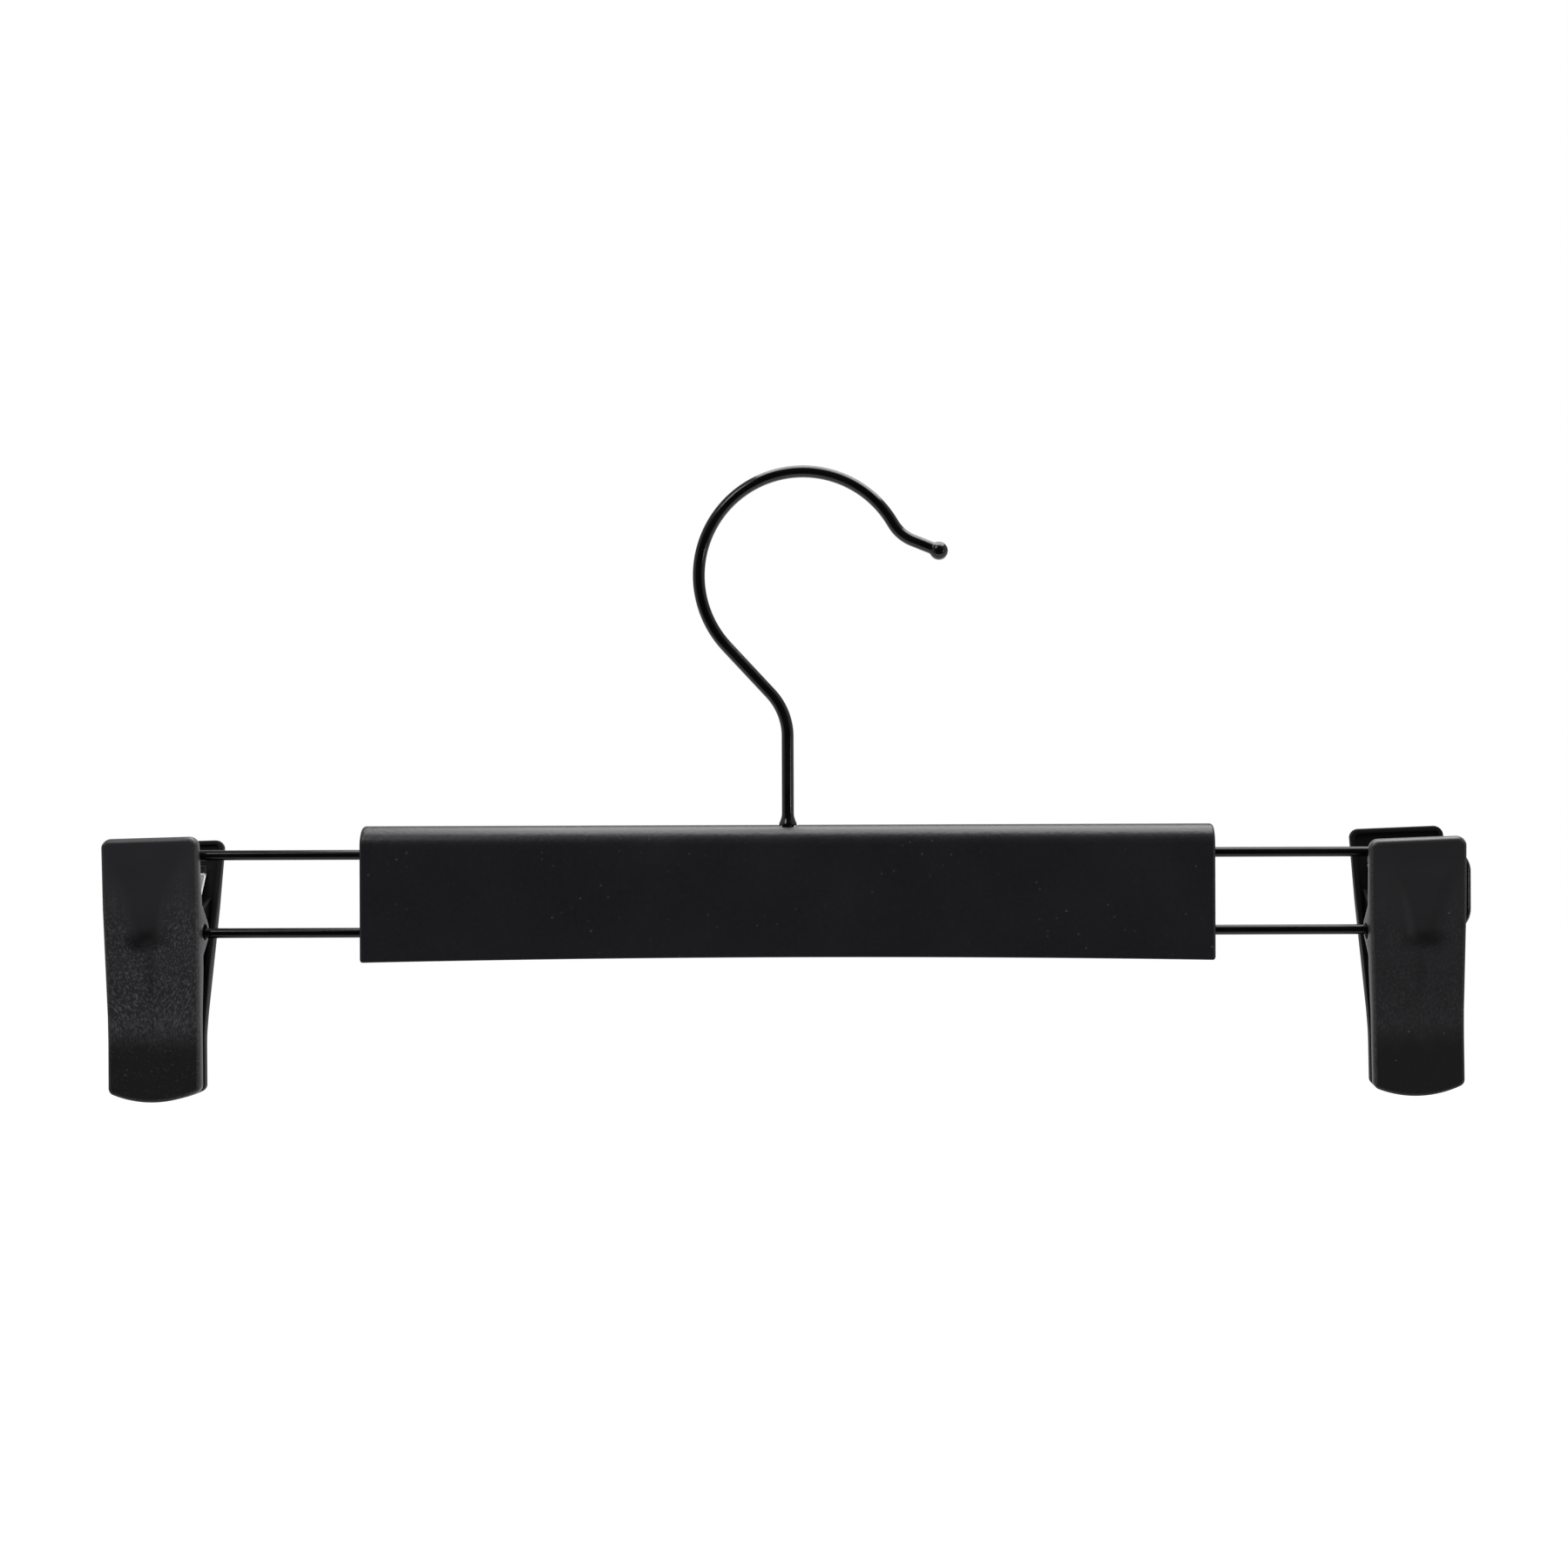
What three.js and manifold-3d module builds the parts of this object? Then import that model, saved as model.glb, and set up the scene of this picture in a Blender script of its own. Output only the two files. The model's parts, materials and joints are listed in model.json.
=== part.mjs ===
// Clip hanger: a swivelling wire hook, a moulded bar over a bent wire loop, and two sprung clips that
// slide on the loop. Millimetres, +Z up, the front faces -Y. The origin is where the swivel axis meets
// the inside of the hook's crown, so the hanger hangs from its origin.
import * as THREE from 'three';
import { mergeVertices } from 'three/addons/utils/BufferGeometryUtils.js';
import Module from 'manifold-3d';

const wasm = await Module();
wasm.setup();

// Clearances
const FIT_CLEARANCE = 0.3;
const SWIVEL_CLEARANCE = 0.15;
const EAR_CLEARANCE = 0.8;

// Wire loop, one bent wire whose ends meet in the middle of the lower run
const LOOP_LENGTH = 337;
const WIRE_DIAMETER = 2.5;
const WIRE_SPACING = 19.2;
const WIRE_CORNER_RADIUS = 5;
const WIRE_END_GAP = 0.4;

// Hook, from the cover's crest up the stem, along the neck and round the crown to the ball
const HOOK_DIAMETER = 3;
const STEM_LENGTH = 21.8;
const NECK_RADIUS = 15.6;
const NECK_TURN = 42.9;
const NECK_LENGTH = 15.8;
const CROWN_RADIUS = 25.7;
const CROWN_TURN = 192.9;
const TIP_BEND_RADIUS = 10;
const TIP_TURN = 38.2;
const TIP_LENGTH = 6.9;
const BALL_DIAMETER = 4.5;
const SHOULDER_DIAMETER = 4.5;
const SHOULDER_LIP = 0.7;
const SHOULDER_HEIGHT = 3;
const HEAD_DIAMETER = 5;
const HEAD_THICKNESS = 1.1;
const HEAD_BEVEL = 0.5;
const HEAD_TO_WIRE = 0.45;

// Swivel washer
const WASHER_OVERHANG = 0.3;
const WASHER_THICKNESS = 0.6;

// Bar cover, an upturned channel with a half-round crest
const COVER_LENGTH = 209.6;
const COVER_WALL = 1.2;
const COVER_SKIRT = 7.1;
const COVER_ARCH = 1;
const SHOULDER_SEAT_DEPTH = 0.55;

// Moulded inserts that carry the cover on the wires
const INSERT_DEPTH = 7;
const SNAP_GRIP = 0.4;
const SADDLE_LENGTH = 26;
const SADDLE_ROOF = 1.9;
const SADDLE_BASE = 1.3;
const SADDLE_POCKET_LENGTH = 14;
const SPACER_LENGTH = 8;
const SPACER_INSET = 4;
const SPACER_BASE = 2.35;

// Clips: how far each stands in from the loop's end, and how it leans and hangs askew at rest
const LEFT_END_GAP = 1.15;
const LEFT_LEAN = -4;
const LEFT_ROLL = -1.5;
const RIGHT_END_GAP = 2.45;
const RIGHT_LEAN = 5.5;
const RIGHT_ROLL = -2.2;

// Clip plates, measured from the lower wire that they turn on
const CLIP_WIDTH = 23.5;
const JAW_WIDTH = 22.4;
const PLATE_ABOVE = 23.4;
const PLATE_BELOW = 41.2;
const TAPER_START = 6;
const TAPER_END = -20;
const TOP_CORNER_RADIUS = 2.2;
const BOTTOM_RADIUS = 25.5;
const BOTTOM_CORNER_RADIUS = 1.5;
const FRONT_STANDOFF = 5.4;
const FRONT_SLOPE = 3.3;
const BACK_STANDOFF = 10.7;
const BACK_SLOPE = 17;
const PLATE_WALL = 1.8;
const SIDE_WALL = 1.2;
const RIM_DEPTH_TOP = 2.4;
const RIM_DEPTH_LOW = 4.2;
const RIM_LOW_DROP = 9;
const EAR_WALL = 1.2;
const EAR_ROOT = 9;
const EAR_THICKNESS = 1.2;
const EAR_GAP = 0.3;
const EAR_INSET = 4.2;

// Clip jaws and their rubber pads
const JAW_LENGTH = 15.8;
const JAW_WALL = 1.35;
const JAW_RIM_GAP = 0.45;
const PAD_GAP = 0.15;
const PAD_DROP = 1;
const PAD_RIB_PITCH = 1.6;
const PAD_RIB_DEPTH = 0.45;

// Thumb scoop in each plate's outer face
const SCOOP_TOP = 19.5;
const SCOOP_BOTTOM = -3.2;
const SCOOP_OFFSET = 1.3;
const SCOOP_TOP_WIDTH = 16.4;
const SCOOP_END_RADIUS = 4.4;
const SCOOP_TOP_DEPTH = 0.1;
const SCOOP_BOTTOM_DEPTH = 1.1;
const SCOOP_CORNER_RADIUS = 2;
const SCOOP_BEVEL = 1.2;

// Leaf spring, bent round the lower wire
const SPRING_THICKNESS = 0.5;
const SPRING_SIDE_GAP = 0.35;
const SPRING_WIRE_GAP = 0.35;
const SPRING_FRONT_REACH = 12;
const SPRING_BACK_REACH = 15;
const SPRING_CURL_RISE = 1.8;
const SPRING_CURL_DRAW = 0.6;

// How finely round things are faceted
const WIRE_SIDES = 12;
const ROUND_SIDES = 24;
const BEND_STEP = 8;
const ARC_SEGMENTS = 3;
const CREST_SEGMENTS = 6;
const ARCH_SEGMENTS = 8;
const BALL_SEGMENTS = 16;

// Heights in the bar's own frame, with z = 0 midway between the two wire runs
const wireRadius = WIRE_DIAMETER / 2;
const upperWireZ = WIRE_SPACING / 2;
const lowerWireZ = -WIRE_SPACING / 2;
const headBottomZ = upperWireZ + wireRadius + HEAD_TO_WIRE;
const headTopZ = headBottomZ + HEAD_THICKNESS;
const washerBottomZ = headTopZ + SWIVEL_CLEARANCE;
const washerTopZ = washerBottomZ + WASHER_THICKNESS;
const roofBottomZ = washerTopZ + SWIVEL_CLEARANCE;
const insertTopZ = roofBottomZ + SADDLE_ROOF;
const coverTopZ = insertTopZ + FIT_CLEARANCE + COVER_WALL;
const coverBottomZ = lowerWireZ - COVER_SKIRT;
const shoulderSeatZ = coverTopZ - SHOULDER_SEAT_DEPTH;
const crestCentreZ = insertTopZ - INSERT_DEPTH / 2;
const coverDepth = INSERT_DEPTH + 2 * (FIT_CLEARANCE + COVER_WALL);
const stemRadius = HOOK_DIAMETER / 2;
const stemHoleRadius = stemRadius + FIT_CLEARANCE;
const wireHoleRadius = wireRadius + FIT_CLEARANCE;

// Places along the bar
const loopHalf = LOOP_LENGTH / 2 - wireRadius;
const leftClipX = LEFT_END_GAP + CLIP_WIDTH / 2 - LOOP_LENGTH / 2;
const rightClipX = LOOP_LENGTH / 2 - CLIP_WIDTH / 2 - RIGHT_END_GAP;
const spacerX = COVER_LENGTH / 2 - SPACER_INSET - SPACER_LENGTH / 2;

const radians = THREE.MathUtils.degToRad;

const materials = {
  bar: new THREE.MeshStandardMaterial({ color: 0x1b1b1d, roughness: 0.62, metalness: 0 }),
  clip: new THREE.MeshStandardMaterial({ color: 0x2c2d2f, roughness: 0.7, metalness: 0 }),
  wire: new THREE.MeshStandardMaterial({ color: 0x0d0d0f, roughness: 0.25, metalness: 0.2 }),
  insert: new THREE.MeshStandardMaterial({ color: 0x222224, roughness: 0.6, metalness: 0 }),
  steel: new THREE.MeshStandardMaterial({ color: 0xb9bbbe, roughness: 0.3, metalness: 1 }),
  rubber: new THREE.MeshStandardMaterial({ color: 0x151516, roughness: 0.85, metalness: 0 }),
};

// A closed three.js geometry as a solid that can be joined and cut.
function toSolid(geometry) {
  const bare = geometry.clone();
  bare.deleteAttribute('normal');
  bare.deleteAttribute('uv');
  const merged = mergeVertices(bare);
  const corners = merged.index.array;
  const triVerts = [];
  for (let i = 0; i < corners.length; i += 3) {
    const [a, b, c] = corners.slice(i, i + 3);
    if (a !== b && b !== c && c !== a) triVerts.push(a, b, c);
  }
  return new wasm.Manifold(new wasm.Mesh({
    numProp: 3,
    vertProperties: merged.attributes.position.array,
    triVerts: new Uint32Array(triVerts),
  }));
}

function toGeometry(solid) {
  const mesh = solid.getMesh();
  const geometry = new THREE.BufferGeometry();
  geometry.setAttribute('position', new THREE.BufferAttribute(new Float32Array(mesh.vertProperties), 3));
  geometry.setIndex(new THREE.BufferAttribute(new Uint32Array(mesh.triVerts), 1));
  geometry.computeVertexNormals();
  return geometry;
}

function piece(name, solid, material) {
  const mesh = new THREE.Mesh(toGeometry(solid), material);
  mesh.name = name;
  return mesh;
}

// A profile drawn as (y, z), extruded along X and centred on x = 0.
function extrudeX(shape, length, curveSegments = ARC_SEGMENTS) {
  const geometry = new THREE.ExtrudeGeometry(shape, { depth: length, bevelEnabled: false, curveSegments });
  geometry.translate(0, 0, -length / 2);
  const alongX = new THREE.Matrix4().makeBasis(
    new THREE.Vector3(0, 1, 0),
    new THREE.Vector3(0, 0, 1),
    new THREE.Vector3(1, 0, 0),
  );
  return toSolid(geometry.applyMatrix4(alongX));
}

// An outline drawn as (x, z), extruded along Y and centred on y = 0.
function extrudeY(shape, depth, curveSegments = ARC_SEGMENTS) {
  const geometry = new THREE.ExtrudeGeometry(shape, { depth, bevelEnabled: false, curveSegments });
  geometry.translate(0, 0, -depth / 2);
  return toSolid(geometry.rotateX(Math.PI / 2));
}

function rodX(radius, length) {
  return toSolid(new THREE.CylinderGeometry(radius, radius, length, ROUND_SIDES).rotateZ(Math.PI / 2));
}

// A turned piece about the swivel axis, from a profile of (radius, height) points.
function turned(profile) {
  const points = profile.map(([radius, height]) => new THREE.Vector2(radius, height));
  return toSolid(new THREE.LatheGeometry(points, ROUND_SIDES).rotateX(Math.PI / 2));
}

function rodZ(radius, bottom, top) {
  return turned([[0, bottom], [radius, bottom], [radius, top], [0, top]]);
}

function polygon(points) {
  return new THREE.Shape(points.map(([a, b]) => new THREE.Vector2(a, b)));
}

// A bent wire's centre-line in the XZ plane, laid out as a bending machine works: straight runs and
// bends one after another. Bends to the left are positive. Rings stand only where the wire bends.
class BentWire extends THREE.Curve {
  constructor(x, z, heading) {
    super();
    this.x = x;
    this.z = z;
    this.heading = radians(heading);
    this.points = [];
    this.tangents = [];
    this.mark();
  }

  mark() {
    this.points.push(new THREE.Vector3(this.x, 0, this.z));
    this.tangents.push(new THREE.Vector3(Math.cos(this.heading), 0, Math.sin(this.heading)));
  }

  straight(length) {
    this.x += length * Math.cos(this.heading);
    this.z += length * Math.sin(this.heading);
    this.mark();
    return this;
  }

  bend(radius, turn) {
    const steps = Math.ceil(Math.abs(turn) / BEND_STEP);
    const side = Math.sign(turn) * radius;
    const centreX = this.x - side * Math.sin(this.heading);
    const centreZ = this.z + side * Math.cos(this.heading);
    for (let i = 0; i < steps; i += 1) {
      this.heading += radians(turn) / steps;
      this.x = centreX + side * Math.sin(this.heading);
      this.z = centreZ - side * Math.cos(this.heading);
      this.mark();
    }
    return this;
  }

  station(t) {
    return Math.round(t * (this.points.length - 1));
  }

  getPoint(t) {
    return this.points[this.station(t)].clone();
  }

  getTangentAt(t) {
    return this.tangents[this.station(t)].clone();
  }

  getSpacedPoints() {
    return this.points;
  }

  solid(diameter) {
    const section = new THREE.Shape().absarc(0, 0, diameter / 2, 0, 2 * Math.PI, false);
    return toSolid(new THREE.ExtrudeGeometry(section, {
      extrudePath: this,
      steps: this.points.length - 1,
      curveSegments: WIRE_SIDES / 2,
    }));
  }
}

// Wire loop
function wireFrame() {
  const halfLower = loopHalf - WIRE_CORNER_RADIUS - WIRE_END_GAP / 2;
  const end = WIRE_SPACING - 2 * WIRE_CORNER_RADIUS;
  const upper = 2 * (loopHalf - WIRE_CORNER_RADIUS);
  const loop = new BentWire(WIRE_END_GAP / 2, lowerWireZ, 0)
    .straight(halfLower)
    .bend(WIRE_CORNER_RADIUS, 90)
    .straight(end)
    .bend(WIRE_CORNER_RADIUS, 90)
    .straight(upper)
    .bend(WIRE_CORNER_RADIUS, 90)
    .straight(end)
    .bend(WIRE_CORNER_RADIUS, 90)
    .straight(halfLower);
  return loop.solid(WIRE_DIAMETER);
}

// Hook: the bent wire with a pressed shoulder over the cover, a ball on the tip and a peened head below
function hookLine() {
  return new BentWire(0, headBottomZ, 90)
    .straight(coverTopZ + STEM_LENGTH - headBottomZ)
    .bend(NECK_RADIUS, NECK_TURN)
    .straight(NECK_LENGTH)
    .bend(CROWN_RADIUS, -CROWN_TURN)
    .bend(TIP_BEND_RADIUS, TIP_TURN)
    .straight(TIP_LENGTH);
}

function hook() {
  const line = hookLine();
  const shoulderZ = shoulderSeatZ + FIT_CLEARANCE;
  const shoulder = turned([
    [0, shoulderZ],
    [SHOULDER_DIAMETER / 2, shoulderZ],
    [SHOULDER_DIAMETER / 2, shoulderZ + SHOULDER_LIP],
    [stemRadius, shoulderZ + SHOULDER_HEIGHT],
    [0, shoulderZ + SHOULDER_HEIGHT],
  ]);
  const head = turned([
    [0, headBottomZ],
    [HEAD_DIAMETER / 2 - HEAD_BEVEL, headBottomZ],
    [HEAD_DIAMETER / 2, headBottomZ + HEAD_BEVEL],
    [HEAD_DIAMETER / 2, headTopZ],
    [0, headTopZ],
  ]);
  const ball = toSolid(new THREE.SphereGeometry(BALL_DIAMETER / 2, BALL_SEGMENTS, BALL_SEGMENTS / 2)
    .translate(line.x, 0, line.z));
  return line.solid(HOOK_DIAMETER).add(shoulder).add(head).add(ball);
}

// The rail rests inside the crown, on the swivel axis.
function railSeatZ() {
  const neckEndHeading = radians(NECK_TURN);
  const reach = NECK_RADIUS + CROWN_RADIUS;
  const crownX = reach * Math.cos(neckEndHeading) - NECK_LENGTH * Math.sin(neckEndHeading) - NECK_RADIUS;
  const crownRise = reach * Math.sin(neckEndHeading) + NECK_LENGTH * Math.cos(neckEndHeading);
  const seatRadius = CROWN_RADIUS - stemRadius;
  return coverTopZ + STEM_LENGTH + crownRise + Math.sqrt(seatRadius ** 2 - crownX ** 2);
}

function washer() {
  const radius = HEAD_DIAMETER / 2 + WASHER_OVERHANG;
  return rodZ(radius, washerBottomZ, washerTopZ)
    .subtract(rodZ(stemHoleRadius, washerBottomZ - WASHER_THICKNESS, washerTopZ + WASHER_THICKNESS));
}

// Bar cover: the channel, its lower edges arched up towards the middle
function barCover() {
  const outer = coverDepth / 2;
  const inner = outer - COVER_WALL;
  const channel = new THREE.Shape();
  channel.absarc(0, crestCentreZ, outer, 0, Math.PI, false);
  channel.lineTo(-outer, coverBottomZ);
  channel.lineTo(-inner, coverBottomZ);
  channel.absarc(0, crestCentreZ, inner, Math.PI, 0, true);
  channel.lineTo(inner, coverBottomZ);
  channel.lineTo(outer, coverBottomZ);

  const halfLength = COVER_LENGTH / 2;
  const archRadius = (halfLength ** 2 + COVER_ARCH ** 2) / (2 * COVER_ARCH);
  const archAngle = Math.asin(halfLength / archRadius);
  const arch = new THREE.Shape();
  arch.absarc(
    0,
    coverBottomZ + COVER_ARCH - archRadius,
    archRadius,
    Math.PI / 2 - archAngle,
    Math.PI / 2 + archAngle,
    false,
  );
  arch.lineTo(-halfLength, coverBottomZ - COVER_WALL);
  arch.lineTo(halfLength, coverBottomZ - COVER_WALL);

  const seatRadius = SHOULDER_DIAMETER / 2 + FIT_CLEARANCE;
  return extrudeX(channel, COVER_LENGTH, CREST_SEGMENTS)
    .subtract(extrudeY(arch, 2 * coverDepth, ARCH_SEGMENTS))
    .subtract(rodZ(seatRadius, shoulderSeatZ, coverTopZ + COVER_WALL))
    .subtract(rodZ(stemHoleRadius, insertTopZ, coverTopZ + COVER_WALL));
}

// Moulded inserts: they fill the cover's section and snap onto the wires from behind
function insert(length, bottom, wireHeights) {
  const half = INSERT_DEPTH / 2;
  const section = new THREE.Shape();
  section.absarc(0, crestCentreZ, half, 0, Math.PI, false);
  section.lineTo(-half, bottom);
  section.lineTo(half, bottom);
  let solid = extrudeX(section, length, CREST_SEGMENTS);
  const slotHalf = (WIRE_DIAMETER - SNAP_GRIP) / 2;
  for (const z of wireHeights) {
    const slot = polygon([
      [0, z - slotHalf],
      [INSERT_DEPTH, z - slotHalf],
      [INSERT_DEPTH, z + slotHalf],
      [0, z + slotHalf],
    ]);
    solid = solid
      .subtract(rodX(wireHoleRadius, 2 * length).translate([0, 0, z]))
      .subtract(extrudeX(slot, 2 * length));
  }
  return solid;
}

// The saddle bridges the swivel: its roof carries the washer and the hook's head.
function saddle() {
  const bottom = upperWireZ - wireHoleRadius - SADDLE_BASE;
  const half = SADDLE_POCKET_LENGTH / 2;
  const pocket = polygon([
    [-half, bottom - SADDLE_BASE],
    [half, bottom - SADDLE_BASE],
    [half, roofBottomZ],
    [-half, roofBottomZ],
  ]);
  return insert(SADDLE_LENGTH, bottom, [upperWireZ])
    .subtract(extrudeY(pocket, 2 * INSERT_DEPTH))
    .subtract(rodZ(stemHoleRadius, bottom, coverTopZ));
}

function spacer() {
  const bottom = lowerWireZ - wireHoleRadius - SPACER_BASE;
  return insert(SPACER_LENGTH, bottom, [upperWireZ, lowerWireZ]);
}

// Clip plates are drawn in their own frame: x across, z up from the pivot, and y outwards from the
// pivot to the plate. The front plate is turned half round when it is placed.
const jawTop = JAW_LENGTH - PLATE_BELOW;
const earHoleRadius = wireRadius + EAR_CLEARANCE;
const earRadius = earHoleRadius + EAR_WALL;

// Inner faces of the front plate's ears. The one towards the hanger's middle is flush with the plate's
// edge, and the one towards its end stands in, clear of the loop's bend. The back plate's ears fit
// between them, and the spring between those.
const middleEarFace = JAW_WIDTH / 2 - EAR_THICKNESS;
const endEarFace = CLIP_WIDTH / 2 - EAR_INSET - EAR_THICKNESS;
const earStep = EAR_THICKNESS + EAR_GAP;

function plateSide(standoff, slope) {
  return { face: (z) => standoff + Math.tan(radians(slope)) * z };
}

const front = plateSide(FRONT_STANDOFF, FRONT_SLOPE);
const back = plateSide(BACK_STANDOFF, BACK_SLOPE);
front.jaw = front.face(jawTop);
back.jaw = back.face(jawTop);
front.clamp = (front.jaw - back.jaw) / 2;
back.clamp = -front.clamp;

// A plate's outline from the front, drawn in by an inset: square shoulders, a slight taper to the jaw
// and a shallow round end.
function plateOutline(inset) {
  const half = CLIP_WIDTH / 2 - inset;
  const jawHalf = JAW_WIDTH / 2 - inset;
  const top = PLATE_ABOVE - inset;
  const topRadius = Math.max(TOP_CORNER_RADIUS - inset, FIT_CLEARANCE);
  const endRadius = BOTTOM_RADIUS - inset;
  const endZ = BOTTOM_RADIUS - PLATE_BELOW;
  const cornerRadius = Math.max(BOTTOM_CORNER_RADIUS - inset, FIT_CLEARANCE);
  const cornerX = jawHalf - cornerRadius;
  const cornerDrop = Math.sqrt((endRadius - cornerRadius) ** 2 - cornerX ** 2);
  const cornerAngle = Math.atan2(-cornerDrop, cornerX);
  const outline = new THREE.Shape();
  outline.absarc(cornerX, endZ - cornerDrop, cornerRadius, cornerAngle, 0, false);
  outline.lineTo(jawHalf, TAPER_END);
  outline.lineTo(half, TAPER_START);
  outline.absarc(half - topRadius, top - topRadius, topRadius, 0, Math.PI / 2, false);
  outline.absarc(topRadius - half, top - topRadius, topRadius, Math.PI / 2, Math.PI, false);
  outline.lineTo(-half, TAPER_START);
  outline.lineTo(-jawHalf, TAPER_END);
  outline.absarc(-cornerX, endZ - cornerDrop, cornerRadius, Math.PI, Math.PI - cornerAngle, false);
  outline.absarc(0, endZ, endRadius, Math.PI - cornerAngle, 2 * Math.PI + cornerAngle, false);
  return outline;
}

const clipDepth = 2 * (back.face(PLATE_ABOVE) + earRadius);

// The plate's side view with its rims, from the finger end down to the jaw's tip
function rimProfile(side) {
  return polygon([
    [side.face(PLATE_ABOVE), PLATE_ABOVE],
    [side.jaw, jawTop],
    [side.jaw, -PLATE_BELOW],
    [side.clamp + JAW_RIM_GAP, -PLATE_BELOW],
    [side.clamp + JAW_RIM_GAP, jawTop],
    [side.face(-RIM_LOW_DROP) - RIM_DEPTH_LOW, -RIM_LOW_DROP],
    [side.face(PLATE_ABOVE) - RIM_DEPTH_TOP, PLATE_ABOVE],
  ]);
}

// What lies inside the plate's wall, to well past the wire
function hollowProfile(side) {
  const past = -2 * earRadius;
  return polygon([
    [side.face(PLATE_ABOVE) - PLATE_WALL, PLATE_ABOVE],
    [side.jaw - JAW_WALL, jawTop],
    [side.jaw - JAW_WALL, -PLATE_BELOW],
    [past, -PLATE_BELOW],
    [past, PLATE_ABOVE],
  ]);
}

// Angle of the point where a line from (y, z) touches a circle about the pivot
function tangentAngle(y, z, radius, turn) {
  return Math.atan2(z, y) + turn * Math.acos(radius / Math.hypot(y, z));
}

// An ear: a disc round the wire that widens into the plate's wall
function earProfile(side) {
  const upper = side.face(EAR_ROOT) - PLATE_WALL / 2;
  const lower = side.face(-EAR_ROOT) - PLATE_WALL / 2;
  const from = tangentAngle(upper, EAR_ROOT, earRadius, 1);
  const to = tangentAngle(lower, -EAR_ROOT, earRadius, -1) + 2 * Math.PI;
  const ear = new THREE.Shape();
  ear.absarc(0, 0, earRadius, from, to, false);
  ear.lineTo(lower, -EAR_ROOT);
  ear.lineTo(upper, EAR_ROOT);
  return ear;
}

// Thumb scoop: a shield-shaped recess that deepens towards its round lower end
function scoop(side, x) {
  const height = SCOOP_TOP - SCOOP_BOTTOM;
  const endZ = SCOOP_END_RADIUS;
  const half = SCOOP_TOP_WIDTH / 2 - SCOOP_BEVEL;
  const endRadius = SCOOP_END_RADIUS - SCOOP_BEVEL;
  const corner = SCOOP_CORNER_RADIUS;
  const flank = Math.atan2(half - endRadius, height - endZ);
  const shield = new THREE.Shape();
  shield.absarc(0, endZ, endRadius, Math.PI + flank, 2 * Math.PI - flank, false);
  shield.lineTo(half, height - corner);
  shield.lineTo(half - corner, height);
  shield.lineTo(corner - half, height);
  shield.lineTo(-half, height - corner);
  const geometry = new THREE.ExtrudeGeometry(shield, {
    depth: PLATE_WALL,
    curveSegments: ARC_SEGMENTS,
    bevelThickness: SCOOP_BOTTOM_DEPTH,
    bevelSize: SCOOP_BEVEL,
    bevelSegments: 1,
  });
  geometry.translate(0, 0, SCOOP_BOTTOM_DEPTH);
  const floorTop = side.face(SCOOP_TOP) - SCOOP_TOP_DEPTH;
  const floorBottom = side.face(SCOOP_BOTTOM) - SCOOP_BOTTOM_DEPTH;
  const lean = Math.atan2(floorTop - floorBottom, height);
  geometry.rotateX(Math.PI / 2);
  geometry.rotateZ(Math.PI);
  geometry.rotateX(-lean);
  geometry.translate(x, floorBottom, SCOOP_BOTTOM);
  return toSolid(geometry);
}

// A plate without its ears: a shallow tray with a scooped face
function plateShell(side, scoopX) {
  return extrudeX(rimProfile(side), 2 * CLIP_WIDTH)
    .intersect(extrudeY(plateOutline(0), clipDepth))
    .subtract(extrudeX(hollowProfile(side), 2 * CLIP_WIDTH)
      .intersect(extrudeY(plateOutline(SIDE_WALL), clipDepth)))
    .subtract(scoop(side, scoopX));
}

function ear(side, from, to) {
  return extrudeX(earProfile(side), Math.abs(to - from))
    .translate([(from + to) / 2, 0, 0])
    .intersect(extrudeY(plateOutline(0), clipDepth));
}

// inwards is 1 or -1, the way along x to the hanger's middle
function frontPlate(inwards, scoopX) {
  return plateShell(front, scoopX)
    .add(ear(front, inwards * middleEarFace, inwards * CLIP_WIDTH / 2))
    .add(ear(front, -inwards * endEarFace, -inwards * (endEarFace + EAR_THICKNESS)))
    .subtract(rodX(earHoleRadius, 2 * CLIP_WIDTH));
}

function backPlate(inwards, scoopX) {
  return plateShell(back, scoopX)
    .add(ear(back, inwards * (middleEarFace - earStep), inwards * (middleEarFace - EAR_GAP)))
    .add(ear(back, -inwards * (endEarFace - earStep), -inwards * (endEarFace - EAR_GAP)))
    .subtract(rodX(earHoleRadius, 2 * CLIP_WIDTH));
}

// Rubber pad in the jaw's recess, ribbed across its gripping face
function pad(side) {
  const base = side.jaw - JAW_WALL - FIT_CLEARANCE;
  const tip = side.clamp + PAD_GAP;
  const top = jawTop - PAD_DROP;
  const ribs = Math.ceil((PLATE_BELOW - SIDE_WALL + top) / PAD_RIB_PITCH);
  const bottom = top - ribs * PAD_RIB_PITCH;
  const points = [[base, bottom], [base, top]];
  for (let i = 0; i < ribs; i += 1) {
    const z = top - i * PAD_RIB_PITCH;
    points.push([tip + PAD_RIB_DEPTH, z], [tip, z - PAD_RIB_PITCH / 3]);
    points.push([tip, z - 2 * PAD_RIB_PITCH / 3]);
  }
  points.push([tip + PAD_RIB_DEPTH, bottom]);
  return extrudeX(polygon(points), CLIP_WIDTH)
    .intersect(extrudeY(plateOutline(SIDE_WALL + FIT_CLEARANCE), clipDepth));
}

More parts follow.
